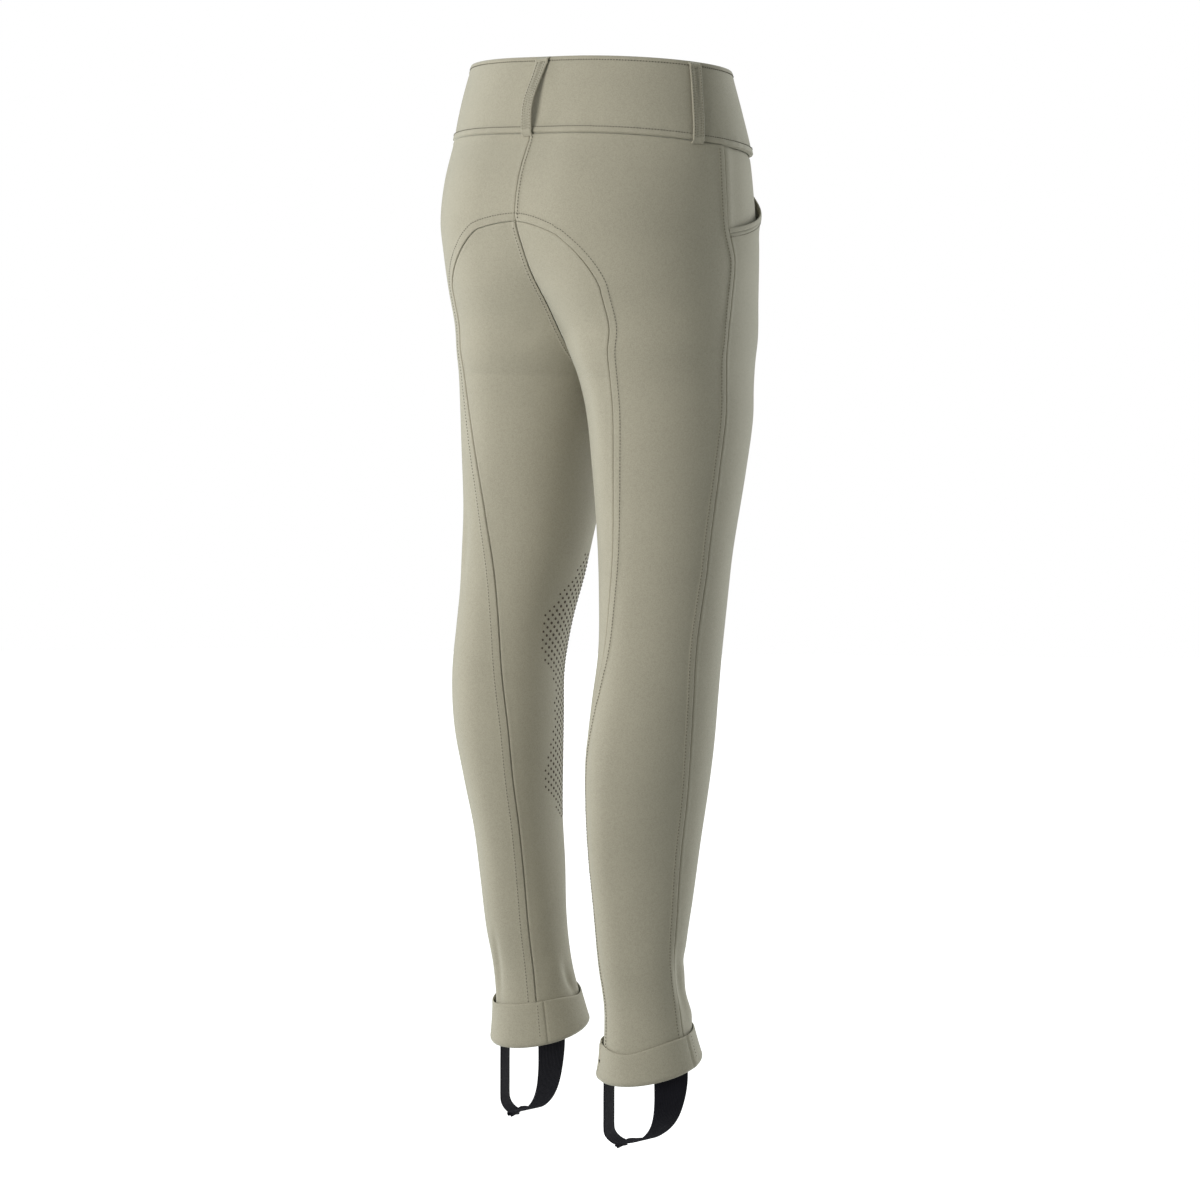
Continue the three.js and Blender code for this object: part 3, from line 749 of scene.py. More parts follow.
def textile(name, colour, deep, ribs, fuzz, bump, sheen, sheen_tint, mottle=1.0):
    """A woven or knitted material. bump in metres."""
    groups = bpy.data.node_groups
    material = bpy.data.materials.new(name)
    material.use_nodes = True
    tree = material.node_tree
    shader = tree.nodes["Principled BSDF"]
    shader.inputs["Sheen Weight"].default_value = sheen
    shader.inputs["Sheen Roughness"].default_value = 0.45
    shader.inputs["Sheen Tint"].default_value = (*sheen_tint, 1)
    shader.inputs["Specular IOR Level"].default_value = 0.25
    flat = tree.nodes.new("ShaderNodeUVMap")
    flat.uv_map = "cloth"
    place = tree.nodes.new("ShaderNodeTexCoord")
    weave = placed(tree, groups.get("stretch_twill") or weave_group())
    weave.inputs["Ribs per metre"].default_value = ribs
    weave.inputs["Fuzz"].default_value = fuzz
    tree.links.new(flat.outputs["UV"], weave.inputs["Flat"])
    tree.links.new(place.outputs["Object"], weave.inputs["Place"])
    dye = placed(tree, groups.get("dye_mottle") or mottle_group())
    dye.inputs["Colour"].default_value = (*colour, 1)
    dye.inputs["Deep"].default_value = (*deep, 1)
    dye.inputs["Amount"].default_value = mottle
    tree.links.new(place.outputs["Object"], dye.inputs["Place"])
    tree.links.new(weave.outputs["Rib"], dye.inputs["Rib"])
    tree.links.new(dye.outputs["Colour"], shader.inputs["Base Color"])
    tree.links.new(dye.outputs["Roughness"], shader.inputs["Roughness"])
    bumps = tree.nodes.new("ShaderNodeBump")
    bumps.inputs["Strength"].default_value = 1.0
    bumps.inputs["Distance"].default_value = bump
    tree.links.new(weave.outputs["Height"], bumps.inputs["Height"])
    tree.links.new(bumps.outputs["Normal"], shader.inputs["Normal"])
    return material


def deeper(colour, share):
    return tuple(c * share for c in colour)


def cloth_material(settings):
    return bpy.data.materials.get("stretch_cloth") or textile(
        "stretch_cloth", settings.colour, deeper(settings.colour, 0.8), ribs=1500, fuzz=0.5, bump=0.00006,
        sheen=settings.sheen, sheen_tint=settings.sheen_tint, mottle=1.5)


def strip_material(settings):
    return bpy.data.materials.get("loop_cloth") or textile(
        "loop_cloth", deeper(settings.colour, 1.05), deeper(settings.colour, 0.8), ribs=900, fuzz=0.8,
        bump=0.00016, sheen=settings.sheen, sheen_tint=settings.sheen_tint, mottle=1.2)


# The thread is the cloth's colour darkened by share, so the rows read as dark dots: painted shade of the
# needle holes round each stitch.
def thread_material(settings, name="sewing_thread_painted_shade", share=0.4):
    return bpy.data.materials.get(name) or textile(
        name, deeper(settings.colour, share), deeper(settings.colour, 0.75 * share), ribs=2600, fuzz=0.3,
        bump=0.00005, sheen=0.2, sheen_tint=settings.sheen_tint)


def elastic_material(settings):
    return bpy.data.materials.get("stirrup_elastic") or textile(
        "stirrup_elastic", settings.colour, deeper(settings.colour, 0.6), ribs=1100, fuzz=0.5, bump=0.00008,
        sheen=0.03, sheen_tint=(0.8, 0.82, 1.0))


def grip_material(settings):
    found = bpy.data.materials.get("grip_rubber")
    if found:
        return found
    material = textile(
        "grip_rubber", settings.colour, deeper(settings.colour, 0.8), ribs=900, fuzz=0.2, bump=0.00002,
        sheen=0.0, sheen_tint=(1, 1, 1))
    material.node_tree.nodes["Principled BSDF"].inputs["Specular IOR Level"].default_value = 0.4
    return material


# ---- settings ----

class ClothSettings(bpy.types.PropertyGroup):
    """Colour and lustre of the leg cloth."""

    colour: bpy.props.FloatVectorProperty(
        name="Cloth colour", description="Sage beige of the leg cloth", subtype="COLOR", size=3,
        default=(0.388, 0.36, 0.279), min=0, max=1)
    sheen: bpy.props.FloatProperty(
        name="Sheen", description="Soft light at the turning edges",
        default=0.42, min=0, max=1, subtype="FACTOR")
    sheen_tint: bpy.props.FloatVectorProperty(
        name="Sheen tint", description="Colour of the sheen", subtype="COLOR", size=3,
        default=(0.94, 1.0, 0.92), min=0, max=1)


class StitchSettings(bpy.types.PropertyGroup):
    """Size of the topstitching."""

    pitch: bpy.props.FloatProperty(
        name="Pitch", description="From one stitch to the next",
        default=2.8 * MM, subtype="DISTANCE", unit="LENGTH")
    length: bpy.props.FloatProperty(
        name="Length", description="Visible length of a stitch",
        default=1.35 * MM, subtype="DISTANCE", unit="LENGTH")
    radius: bpy.props.FloatProperty(
        name="Thread radius", description="Half the thickness of the thread",
        default=0.36 * MM, subtype="DISTANCE",
        unit="LENGTH", precision=5)


class ElasticSettings(bpy.types.PropertyGroup):
    """Colour and ribs of the stirrup tape."""

    colour: bpy.props.FloatVectorProperty(
        name="Elastic colour", description="Dark navy of the tape", subtype="COLOR", size=3,
        default=(0.0075, 0.007, 0.0125), min=0, max=1)
    ribs: bpy.props.IntProperty(name="Ribs", description="Ribs across the tape", default=18, min=2, max=40)


class GripSettings(bpy.types.PropertyGroup):
    """Rubber dots on the inner knees."""

    colour: bpy.props.FloatVectorProperty(
        name="Dot colour", description="Dark brown of the dots", subtype="COLOR", size=3,
        default=(0.075, 0.058, 0.043), min=0, max=1)
    across: bpy.props.FloatProperty(
        name="Column spacing", description="Between columns of dots",
        default=4.4 * MM, subtype="DISTANCE", unit="LENGTH")
    along: bpy.props.FloatProperty(
        name="Row spacing", description="Between dots of one column",
        default=7.0 * MM, subtype="DISTANCE", unit="LENGTH")
    radius: bpy.props.FloatProperty(
        name="Dot radius", description="Radius of a full dot",
        default=1.45 * MM, subtype="DISTANCE", unit="LENGTH")


class StageSettings(bpy.types.PropertyGroup):
    """Camera, lights and floor."""

    lens: bpy.props.FloatProperty(
        name="Lens", description="Focal length", default=114.84, subtype="DISTANCE_CAMERA")
    azimuth: bpy.props.FloatProperty(
        name="Azimuth", description="Direction of the camera round the object", default=math.radians(219),
        subtype="ANGLE", unit="ROTATION")
    distance: bpy.props.FloatProperty(
        name="Distance", description="From the camera to the upright axis", default=3.3, subtype="DISTANCE",
        unit="LENGTH")
    height: bpy.props.FloatProperty(
        name="Height", description="Camera height from the waist",
        default=-0.423, subtype="DISTANCE", unit="LENGTH")
    key: bpy.props.FloatProperty(
        name="Key light", description="Power of the key light", default=18.8, unit="POWER")
    rim: bpy.props.FloatProperty(
        name="Edge lights", description="Power of each edge light", default=36, unit="POWER")
    fill: bpy.props.FloatProperty(
        name="Fill", description="Strength of the light from all round", default=0.4)
    drop: bpy.props.FloatProperty(
        name="Floor drop", description="From the stirrups down to the floor", default=0.3, subtype="DISTANCE",
        unit="LENGTH")


# ---- leg panels ----

_seams = {}


def seams(side):
    """The seam lines of one half, measured once."""
    if side not in _seams:
        _seams[side] = {
            "rear": Seam(side, rear_way(side)),
            "side": Seam(side, side_way(side)),
            "centre_back": Seam(side, centre_back_way()),
            "crotch": Seam(side, crotch_way()),
            "centre_front": Seam(side, centre_front_way()),
            "waist": Seam(side, waist_way()),
            "scoop": Seam(side, pocket_way(side, POCKET_EDGE)),
        }
    return _seams[side]


def back_relief(side):
    s = seams(side)
    raised = [(s["rear"], STITCH_IN), (s["side"], SIDE_STITCH_IN)]
    if side < 0:
        return Relief(side, [*raised, (s["centre_back"], CENTRE_STITCH_IN)], [s["waist"]])
    return Relief(side, raised, [s["waist"], s["centre_back"]])


def front_relief(side):
    s = seams(side)
    plain_seams = [s["waist"], s["rear"], s["side"]]
    middle = [(s["crotch"], CENTRE_STITCH_IN), (s["centre_front"], CENTRE_STITCH_IN)]
    if side < 0:
        return Relief(side, [], [*plain_seams, s["crotch"], s["centre_front"]], s["scoop"])
    return Relief(side, middle, plain_seams, s["scoop"])


def leg_levels():
    """Heights shared by every panel below the crotch."""
    count = int((CROTCH_Z - HEM_Z) / STEP)
    return np.linspace(CROTCH_Z, HEM_Z, count)


def crotch_levels(top):
    count = int((top - CROTCH_Z) / STEP)
    return np.linspace(top, CROTCH_Z, count)


def back_grid(side):
    """From the side seam to the centre back, then to the arched seam and the rear seam."""
    arch = arch_way(side)
    upper = centre_back_way()
    upper_marks = marks(length_along(side, upper)[-1], end=())
    arch_marks = marks(length_along(side, arch)[-1], start=())
    rear = np.vstack([pick(side, upper, upper_marks), pick(side, arch, arch_marks)[1:]])
    so_far = length_along(side, rear)
    share = so_far / so_far[-1]
    side_z = WAIST_Z + (ARCH_FOOT_Z - WAIST_Z) * share
    below = np.concatenate([crotch_levels(ARCH_FOOT_Z)[1:], leg_levels()[1:]])
    side_z = np.concatenate([side_z, below])
    rear = np.vstack([rear, path(below, rear_angle(side, below))])
    seam = side_angle(side, side_z)
    seam = seam + HALF_GAP / per_radian(side, side_z, seam)
    z, angle = columns_between(side, side_z, seam, rear[:, 0], rear[:, 1] - 0.001, 44)
    across = row_lengths(side, z, angle)
    return [(z, angle, across - across[:, -1:] / 2)]


def front_grids(side):
    """From the centre front to the pocket and side seam, and from the rear seam to the inside of the leg."""
    scoop = pocket_way(side, POCKET_EDGE)
    opening = pick(side, scoop, marks(length_along(side, scoop)[-1], 2.4, end=()))
    foot = opening[-1, 0]
    mid = marks(foot - ARCH_FOOT_Z, start=())
    between = foot - mid[1:]
    below = np.concatenate([between, crotch_levels(ARCH_FOOT_Z)[1:], leg_levels()[1:]])
    z = np.concatenate([opening[:, 0], below])
    seam = side_angle(side, below)
    right = np.concatenate([opening[:, 1], seam - HALF_GAP / per_radian(side, below, seam)])
    left = limits(z)[0]
    outer = columns_between(side, z, left, z, right, 52)
    across = row_lengths(side, *outer)
    mid_column = across.shape[1] // 2
    across = across - across[:, mid_column : mid_column + 1]

    arch = arch_way(side)
    arch = pick(side, arch, marks(length_along(side, arch)[-1], 2.6, start=()))
    lower = np.concatenate([crotch_levels(ARCH_FOOT_Z)[1:], leg_levels()[1:]])
    rear = np.vstack([arch, path(lower, rear_angle(side, lower))])
    z2 = rear[:, 0]
    inner = columns_between(side, z2, rear[:, 1] + 0.001, z2, limits(z2)[1], 30)
    across2 = row_lengths(side, *inner)
    at_inside = np.interp(-z2, -z, across[:, 0])
    across2 = across2 - across2[:, -1:] + at_inside[:, None]
    return [(*outer, across), (*inner, across2)]


class JODHPURS_OT_leg_backs(bpy.types.Operator):
    """Cut and sew the two leg backs, with the raised rear, side and centre seams and their topstitching"""

    bl_idname = "jodhpurs.leg_backs"
    bl_label = "Leg backs"

    def execute(self, context):
        cloth = cloth_material(context.scene.jodhpurs_cloth)
        for name, side in SIDES.items():
            relief = back_relief(side)
            panel = cloth_wall(f"leg_back_{name}", side, back_grid(side), relief)
            finish_piece(panel, cloth, "cloth", f"back_{name}")
            ways = [
                beside(side, rear_way(side), -STITCH_IN),
                beside(side, side_way(side, WAIST_Z - 2), SIDE_STITCH_IN),
            ]
            if side < 0:
                ways.append(beside(side, centre_back_way(), -CENTRE_STITCH_IN))
            runs = [thread_run(side, way, relief) for way in ways]
            sewing = sew(context, f"stitches_back_{name}", runs)
        return {"FINISHED"}


class JODHPURS_OT_leg_fronts(bpy.types.Operator):
    """Cut and sew the two leg fronts, which wrap round the inside of the leg to the rear seam"""

    bl_idname = "jodhpurs.leg_fronts"
    bl_label = "Leg fronts"

    def execute(self, context):
        cloth = cloth_material(context.scene.jodhpurs_cloth)
        for name, side in SIDES.items():
            relief = front_relief(side)
            panel = cloth_wall(f"leg_front_{name}", side, front_grids(side), relief)
            finish_piece(panel, cloth, "cloth", f"front_{name}")
            ways = [beside(side, pocket_way(side, POCKET_EDGE), -POCKET_STITCH_IN)]
            if side > 0:
                ways.append(beside(side, crotch_way()[6:], -CENTRE_STITCH_IN))
                ways.append(beside(side, centre_front_way(), CENTRE_STITCH_IN))
            runs = [thread_run(side, way, relief) for way in ways]
            sewing = sew(context, f"stitches_front_{name}", runs)
        return {"FINISHED"}


# ---- pockets ----

def pocket_back_grid(side):
    z = WAIST_Z - marks(WAIST_Z - POCKET_DEPTH_Z, start=())
    round_off = np.clip((z - POCKET_DEPTH_Z) / 60, 0, 1)
    start = np.radians(104 + 26 * (1 - round_off) ** 2)
    end = side_angle(side, z)
    end = end - HALF_GAP / per_radian(side, z, end)
    zz, angle = columns_between(side, z, start, z, end, 20, start=np.array([0.0, 2.0]))
    across = row_lengths(side, zz, angle)
    return [(zz, angle, across)]


class JODHPURS_OT_pockets(bpy.types.Operator):
    """Sew the cloth behind each scooped pocket and the bound edge of its mouth"""

    bl_idname = "jodhpurs.pockets"
    bl_label = "Pockets"

    def execute(self, context):
        cloth = cloth_material(context.scene.jodhpurs_cloth)
        for name, side in SIDES.items():
            seam = seams(side)

            def relief(z, angle, side=side, seam=seam):
                shape = np.shape(z)
                base = skin(side, np.ravel(z), np.ravel(angle))
                d = seam["side"].measure(base)[0]
                w = seam["waist"].measure(base)[0]
                depth = -0.4 - 1.3 * ease((d - 3) / 12) + np.minimum(tucked(d), tucked(w))
                return depth.reshape(shape)

            panel = cloth_wall(f"pocket_cloth_{name}", side, pocket_back_grid(side), relief, thickness=1.0)
            finish_piece(panel, cloth, "cloth", f"pocket_back_{name}")

            way = pocket_way(side)
            way = pick(side, way, np.linspace(0, length_along(side, way)[-1] - 0.9, 70))
            base, n = on_body(side, way[:, 0], way[:, 1])
            along = unit(np.gradient(base, axis=0))
            across = side * np.cross(n, along)
            s = np.linspace(0, 1, len(way))
            gape = POCKET_GAPE * np.sin(math.pi * s) ** 2
            # a rolled strip: half width 2.1 with a full round front edge
            turn = np.linspace(0, TURN, 16, endpoint=False)
            wide = 2.15 * np.cos(turn)
            high = 0.75 * np.sign(np.sin(turn)) * np.abs(np.sin(turn)) ** 0.5
            centre = base - across * 2.05 + n * (gape - 0.3)[:, None]
            rings = centre[:, None] + across[:, None] * wide[None, :, None]
            rings = rings + n[:, None] * high[None, :, None]
            edge = loft(f"pocket_binding_{name}", rings)
            finish_piece(edge, cloth, "edge", f"pocket_edge_{name}")
        return {"FINISHED"}


# ---- waistband ----

def band_profile():
    """Heights and offsets of the folded band: up the outside, over the rim and down the inside."""
    low = WAIST_Z + 0.15
    near = np.array([0, 0.25, 0.55, 0.95, 1.6, 2.6, 3.6, 4.2, 4.6, 5.0, 5.4, 5.8, 6.8, 8.4])
    top = np.array([8.0, 6.0, 4.8, 4.2, 3.8, 3.4, 3.0, 2.6, 2.1, 1.5, 1.0, 0.6])
    outer = np.concatenate([low + near, np.linspace(low + 11, RIM_Z - 10.5, 15), RIM_Z - top])
    above_seam = outer - low
    below_rim = RIM_Z - outer
    offset = BAND_LIFT + 0.15 + tucked(above_seam)
    strip = ease(above_seam / 0.8) * (1 - ease((above_seam - BAND_STITCH_IN + 0.7) / 2.2))
    offset += 0.9 * strip - 0.2 * bell(above_seam - BAND_STITCH_IN, 0.6)
    offset += 0.5 * bell(below_rim - 1.8, 1.2) - 0.25 * bell(below_rim - RIM_STITCH_IN, 0.6)
    offset += 0.5 * bell(above_seam - 34, 26)
    turn = np.linspace(0, math.pi, 9)
    middle = BAND_LIFT - BAND_CLOTH / 2
    over_z = RIM_Z - 0.5 + 1.1 * np.sin(turn)
    over = middle + (offset[-1] - middle) * np.cos(turn)
    inner = np.linspace(RIM_Z - 2, low, 14)
    inner_offset = np.full_like(inner, BAND_LIFT - BAND_CLOTH)
    heights = np.concatenate([outer, over_z, inner])
    return heights, np.concatenate([offset, over, inner_offset]), len(outer)


def band_ripple(height, angle, side):
    """Slight pulls above the waist seam and under the rim."""
    way = angle * 110 + side * 400
    low = bell(height - WAIST_Z - 4, 9) * 0.28 * ripple(way, 3)
    high = bell(RIM_Z - height, 7) * 0.2 * ripple(way * 0.8, 1)
    slow = 0.35 * np.sin(way / 37) * np.sin((height - WAIST_Z) / 22)
    return low + high + slow


def half_band_angles(z, count):
    front, back = limits(z, 0.0)
    return front + (back - front) * np.linspace(0, 1, count)


class JODHPURS_OT_waistband(bpy.types.Operator):
    """Fold and sew the waistband, with a rolled rim and two rows of topstitching"""

    bl_idname = "jodhpurs.waistband"
    bl_label = "Waistband"

    def execute(self, context):
        heights, offsets, outer_count = band_profile()
        count = 130
        rings = []
        for k, (z, offset) in enumerate(zip(heights, offsets)):
            level = np.full(count, z)
            angle = half_band_angles(z, count)
            meet = ease(np.minimum(np.arange(count), np.arange(count)[::-1]) / 6)
            fade = meet if k < outer_count else np.zeros(count)
            halves = []
            for side in (1, -1):
                shift = offset + band_ripple(level, angle, side) * fade
                halves.append(on_body(side, level, angle, shift)[0])
            left, right = halves[0], halves[1][::-1]
            for half in halves:
                half[[0, -1], 0] = 0
            rings.append(np.vstack([left, right[1:-1]]))
        band = loft("waistband_folded", rings, closed=True)
        finish_piece(band, cloth_material(context.scene.jodhpurs_cloth), "cloth", "waistband")
        runs = []
        for inset in (WAIST_Z + BAND_STITCH_IN, RIM_Z - RIM_STITCH_IN):
            k = int(np.argmin(np.abs(heights[:outer_count] - inset)))
            ring = np.vstack([rings[k], rings[k][:1]])
            centre = ring.mean(0)
            n = unit((ring - centre) * (1, 1, 0))
            runs.append((ring, n))
        sewing = sew(context, "stitches_waistband", runs, closer=0.9, thicker=1.25)
        return {"FINISHED"}


# ---- belt loops ----

# Angles round the waist at the top and the foot of each loop (None marks the centre back), bow away from the
# band, and how far the top and the foot lie to the wearer's left, mm.
LOOP_COLUMNS = ("node", "side", "top", "foot", "bow", "top_left", "foot_left")
LOOPS = (
    ("belt_loop_centre_back", 1, None, None, 6.4, -3.2, 2.2),
    ("belt_loop_back_left", 1, 198, 202.3, 1.3, 0, 0),
    ("belt_loop_back_right", -1, 198, 202.3, 1.3, 0, 0),
    ("belt_loop_front_left", 1, 126.5, 123.5, 1.3, 0, 0),
    ("belt_loop_front_right", -1, 126.5, 123.5, 1.3, 0, 0),
)


def loop_frame(loop, z, out):
    """Points, outward normals and cross directions of a loop's middle line."""
    share = (LOOP_TOP_Z - z) / (LOOP_TOP_Z - LOOP_FOOT_Z)
    if loop["top"] is None:
        base, n = on_body(1, z, limits(z, 0.0)[1])
        n[:, 0] = 0
        n = unit(n)
        base[:, 0] = loop["top_left"] + (loop["foot_left"] - loop["top_left"]) * share
    else:
        base, n = on_body(loop["side"], z, np.radians(loop["top"] + (loop["foot"] - loop["top"]) * share))
    points = base + n * np.asarray(out)[:, None]
    across = unit(np.cross((0, 0, 1), n))
    return points, n, across


def strip_section(width, thickness, ribs=0, rib_height=0.0, count=18):
    """Across and up of a flat strip's outline with rounded edges."""
    half = width / 2 - thickness / 2
    top_x = np.linspace(-half, half, count)
    rib = rib_height * np.cos(top_x / width * ribs * TURN) if ribs else 0 * top_x
    turn = np.linspace(math.pi / 2, -math.pi / 2, 6)[1:-1]
    right = np.stack([half + thickness / 2 * np.cos(turn), thickness / 2 * np.sin(turn)], -1)
    left = np.stack([-half - thickness / 2 * np.cos(turn), -thickness / 2 * np.sin(turn)], -1)
    top = np.stack([top_x, thickness / 2 + rib], -1)
    bottom = np.stack([top_x[::-1], -thickness / 2 - rib[::-1]], -1)
    return np.vstack([top, right, bottom, left])


def resampled(rows, at, t):
    return np.stack([np.interp(at, t, rows[:, k]) for k in range(3)], -1)


class JODHPURS_OT_belt_loops(bpy.types.Operator):
    """Sew the five belt loops over the band, each with folded ends and a zigzag of cover stitching"""

    bl_idname = "jodhpurs.belt_loops"
    bl_label = "Belt loops"

    def execute(self, context):
        settings = context.scene.jodhpurs_cloth
        cloth = strip_material(settings)
        outline = strip_section(LOOP_WIDTH, LOOP_CLOTH)
        rim_roll = 0.2 * bell(np.abs(outline[:, 0]) - LOOP_WIDTH / 2 + 1.1, 0.7)
        outline[:, 1] += np.where(outline[:, 1] > 0, rim_roll, 0)
        t = np.linspace(0, 1, 60)
        for row in LOOPS:
            loop = dict(zip(LOOP_COLUMNS, row))
            name = loop["node"]
            z = LOOP_TOP_Z + (LOOP_FOOT_Z - LOOP_TOP_Z) * t
            peak = 1.6 if loop["top"] is None else 1
            out = BAND_LIFT + LOOP_STAND + loop["bow"] * np.sin(math.pi * t**peak) ** 1.1
            # both ends turn down to the band and under, with a ridge where they are sewn
            out = out - 1.9 * np.maximum(bell(t, 0.016), bell(t - 1, 0.016))
            out = out + 0.6 * (bell(t - 0.035, 0.016) + bell(t - 0.965, 0.016)) - 0.5 * bell(t - 0.075, 0.014)
            points, n, across = loop_frame(loop, z, out)
            up = unit(np.cross(unit(np.gradient(points, axis=0)), across))
            up = up * np.sign(np.sum(up * n, -1))[:, None]
            splay = 1 + (0.3 if loop["top"] is None else 0.05) * bell(t, 0.16)
            wide = across[:, None] * outline[None, :, :1] * splay[:, None, None]
            strip = loft(f"{name}_strip", points[:, None] + wide + up[:, None] * outline[None, :, 1:])
            finish_piece(strip, cloth, "edge", name)
            # cover stitching: a zigzag between two straight rows
            steps = np.linspace(0.05, 0.95, 60)
            zig = np.where(np.arange(len(steps)) % 2 == 0, -1.0, 1.0) * LOOP_WIDTH * 0.26
            middle, crosswise, lift = (resampled(rows, steps, t) for rows in (points, across, up))
            corners = middle + crosswise * zig[:, None] + lift * (LOOP_CLOTH / 2 + 0.05)
            order = np.arange(len(steps))
            fine = np.linspace(0, len(steps) - 1, (len(steps) - 1) * 5 + 1)
            pitch = float(np.linalg.norm(corners[1] - corners[0]))
            zigzag = [(resampled(corners, fine, order), unit(resampled(lift, fine, order)))]
            cover = thread(f"{name}_cover_stitches", zigzag, pitch, length=pitch * 0.9, radius=0.2)
            # cover thread darkened to 0.72 of the cloth: painted shade between the zigzag stitches
            finish_piece(cover, thread_material(settings, "cover_thread_painted_shade", 0.72), "edge")
            rows = []
            for shift in (-0.36, 0.36):
                rows.append((middle + crosswise * LOOP_WIDTH * shift + lift * (LOOP_CLOTH / 2), lift))
            sewing = thread(f"{name}_stitches", rows, pitch=2.6, length=1.4, radius=0.3)
            finish_piece(sewing, thread_material(settings), "edge")
        return {"FINISHED"}


# ---- turn-ups ----

LEG_RADIUS = 42  # at the hem, for lengths round the leg
CUFF_RADIUS = 43
CUFF_STITCH_IN = 6.5
# How far each turn-up stands off at its top edge and flares at its fold: where round the leg (degrees), how
# far (mm) and over what spread (radians).
CUFF_COLUMNS = ("angle", "amount", "spread")
CUFF_STAND = {
    "left": ((219, 1.6, 0.5), (20, 0.6, 0.7), (110, 1.4, 0.6)),
    "right": ((318, 1.9, 0.4), (150, 1.0, 0.6), (70, 1.0, 0.5)),
}
CUFF_FLARE = {
    "left": ((215, 1.0, 0.8), (40, -0.4, 0.8), (120, 0.8, 0.7)),
    "right": ((318, 2.2, 0.7), (140, 0.5, 0.6), (60, 0.9, 0.7)),
}
# How much lower the top edge lies than the cut, where it sags.
CUFF_SAG = {
    "left": ((20, 8.5, 0.75), (219, 2.0, 0.5), (120, 2.0, 0.8)),
    "right": ((150, 1.5, 0.5), (40, 3.0, 0.8), (246, 4.4, 0.55)),
}


def wrapped(angle):
    return (angle + math.pi) % TURN - math.pi


def bumps(table, angle):
    """Sum of soft bumps round the leg."""
    rows = [dict(zip(CUFF_COLUMNS, row)) for row in table]
    return sum(
        row["amount"] * bell(wrapped(angle - math.radians(row["angle"])), row["spread"]) for row in rows
    )


def cuff_stand(name, angle, share):
    """How far the turn-up stands off the leg: share 0 at its top edge, 1 at the fold."""
    waves = 0.35 * np.sin(3 * angle + 1.3) + 0.25 * np.sin(5 * angle)
    top = bumps(CUFF_STAND[name], angle) * (1 - share) ** 1.5
    fold = (bumps(CUFF_FLARE[name], angle) + waves) * share**1.4
    return top + fold


def over_seams(name, angle, share, total, seam_at):
    """The outer layer with strips over its seams, and on the right a pinch at the inner back corner."""
    for at in seam_at:
        d = wrapped(angle - at) * CUFF_RADIUS
        strip = 0.5 * ease(-d / 1.0) * (1 - ease((-d - 5.5) / 3))
        total = total + strip - 0.55 * bell(d, 0.8)
    if name == "right":
        u = wrapped(angle - math.radians(306)) * LEG_RADIUS
        total = total - 1.1 * bell(u, 2.6) * (1 - share) ** 2 + 0.8 * bell(u + 5, 3) * (1 - share)
    return total


def cuff_profile(cuff):
    """Height over the hem, offset and share of the way down, from the top edge round the fold and inside."""
    rows = [(cuff - 0.9, 0.5, 0), (cuff - 0.2, 0.7, 0), (cuff + 0.15, 1.15, 0)]
    rows += [(cuff - 0.2, 1.65, 0), (cuff - 1, 1.9, 0.02)]
    for t in np.linspace(0.07, 0.88, 15):
        rows.append((cuff * (1 - t), 1.9 + 0.6 * t, t))
    for turn in np.linspace(0.05, math.pi - 0.1, 13):
        rows.append((2.2 - 4.4 * math.sin(turn), 0.05 + 2.5 * math.cos(turn), 1 - 0.8 * turn / math.pi))
    rows += [(3.4, -2.5, 0.15), (7, -2.6, 0), (13, -2.6, 0), (14.4, -2.2, 0), (14.4, -1.7, 0), (13, -1.35, 0)]
    rows += [(5, -1.35, 0), (1.6, -1.3, 0), (-0.3, -0.6, 0)]
    rows += [(-0.6, 0.2, 0.2), (1.2, 0.8, 0.7), (4, 0.9, 0.75)]
    for t in np.linspace(0.75, 0.12, 7):
        rows.append((cuff * (1 - t), 0.55, t))
    return rows


class JODHPURS_OT_turn_ups(bpy.types.Operator):
    """Fold the turn-up of each hem, flared and a little uneven, with its seams and stitching"""

    bl_idname = "jodhpurs.turn_ups"
    bl_label = "Turn-ups"

    def execute(self, context):
        for name, side in SIDES.items():
            cuff = CUFF_HEIGHT[name]
            angle = np.linspace(0, TURN, 210, endpoint=False)
            low = HEM_Z + cuff / 2
            seam_at = (
                float(rear_angle(side, low)) + 7.0 / LEG_RADIUS,
                float(side_angle(side, low)) - 2.0 / LEG_RADIUS,
            )
            rings = []
            for height, offset, share in cuff_profile(cuff):
                total = offset + cuff_stand(name, angle, share)
                sag = bumps(CUFF_SAG[name], angle) * (1 - share) ** 1.2 * (height > 0)
                if offset > 0.95:
                    total = over_seams(name, angle, share, total, seam_at)
                z = HEM_Z + np.maximum(height - sag, 0)
                points = on_body(side, z, angle, total)[0]
                points[:, 2] += min(0.0, height)
                rings.append(points)
            piece = loft(f"turn_up_{name}_folded", rings, closed=True)
            finish_piece(piece, cloth_material(context.scene.jodhpurs_cloth), "cloth", f"turn_up_{name}")
            runs = []
            for at in seam_at:
                share = np.linspace(0.05, 0.88, 60)
                here = np.full_like(share, at - CUFF_STITCH_IN / CUFF_RADIUS)
                sag = bumps(CUFF_SAG[name], here) * (1 - share) ** 1.2
                total = 1.9 + 0.6 * share + cuff_stand(name, here, share)
                runs.append(on_body(side, HEM_Z + np.maximum(cuff * (1 - share) - sag, 0), here, total + 0.1))
            sewing = sew(context, f"stitches_turn_up_{name}", runs)
        return {"FINISHED"}


# ---- stirrups ----

# Strand that ends in the pointed join: how far it has swung in under the foot (mm) at each height over
# the hem.
STRAND_WAY = (
    (-5.5, 14), (-2, 5), (0, -4), (0, -20), (0, -36), (0, -48),
    (0.5, -53.5), (2.6, -58), (5.8, -61.4), (8.4, -63.2), (9.4, -66.5),
)
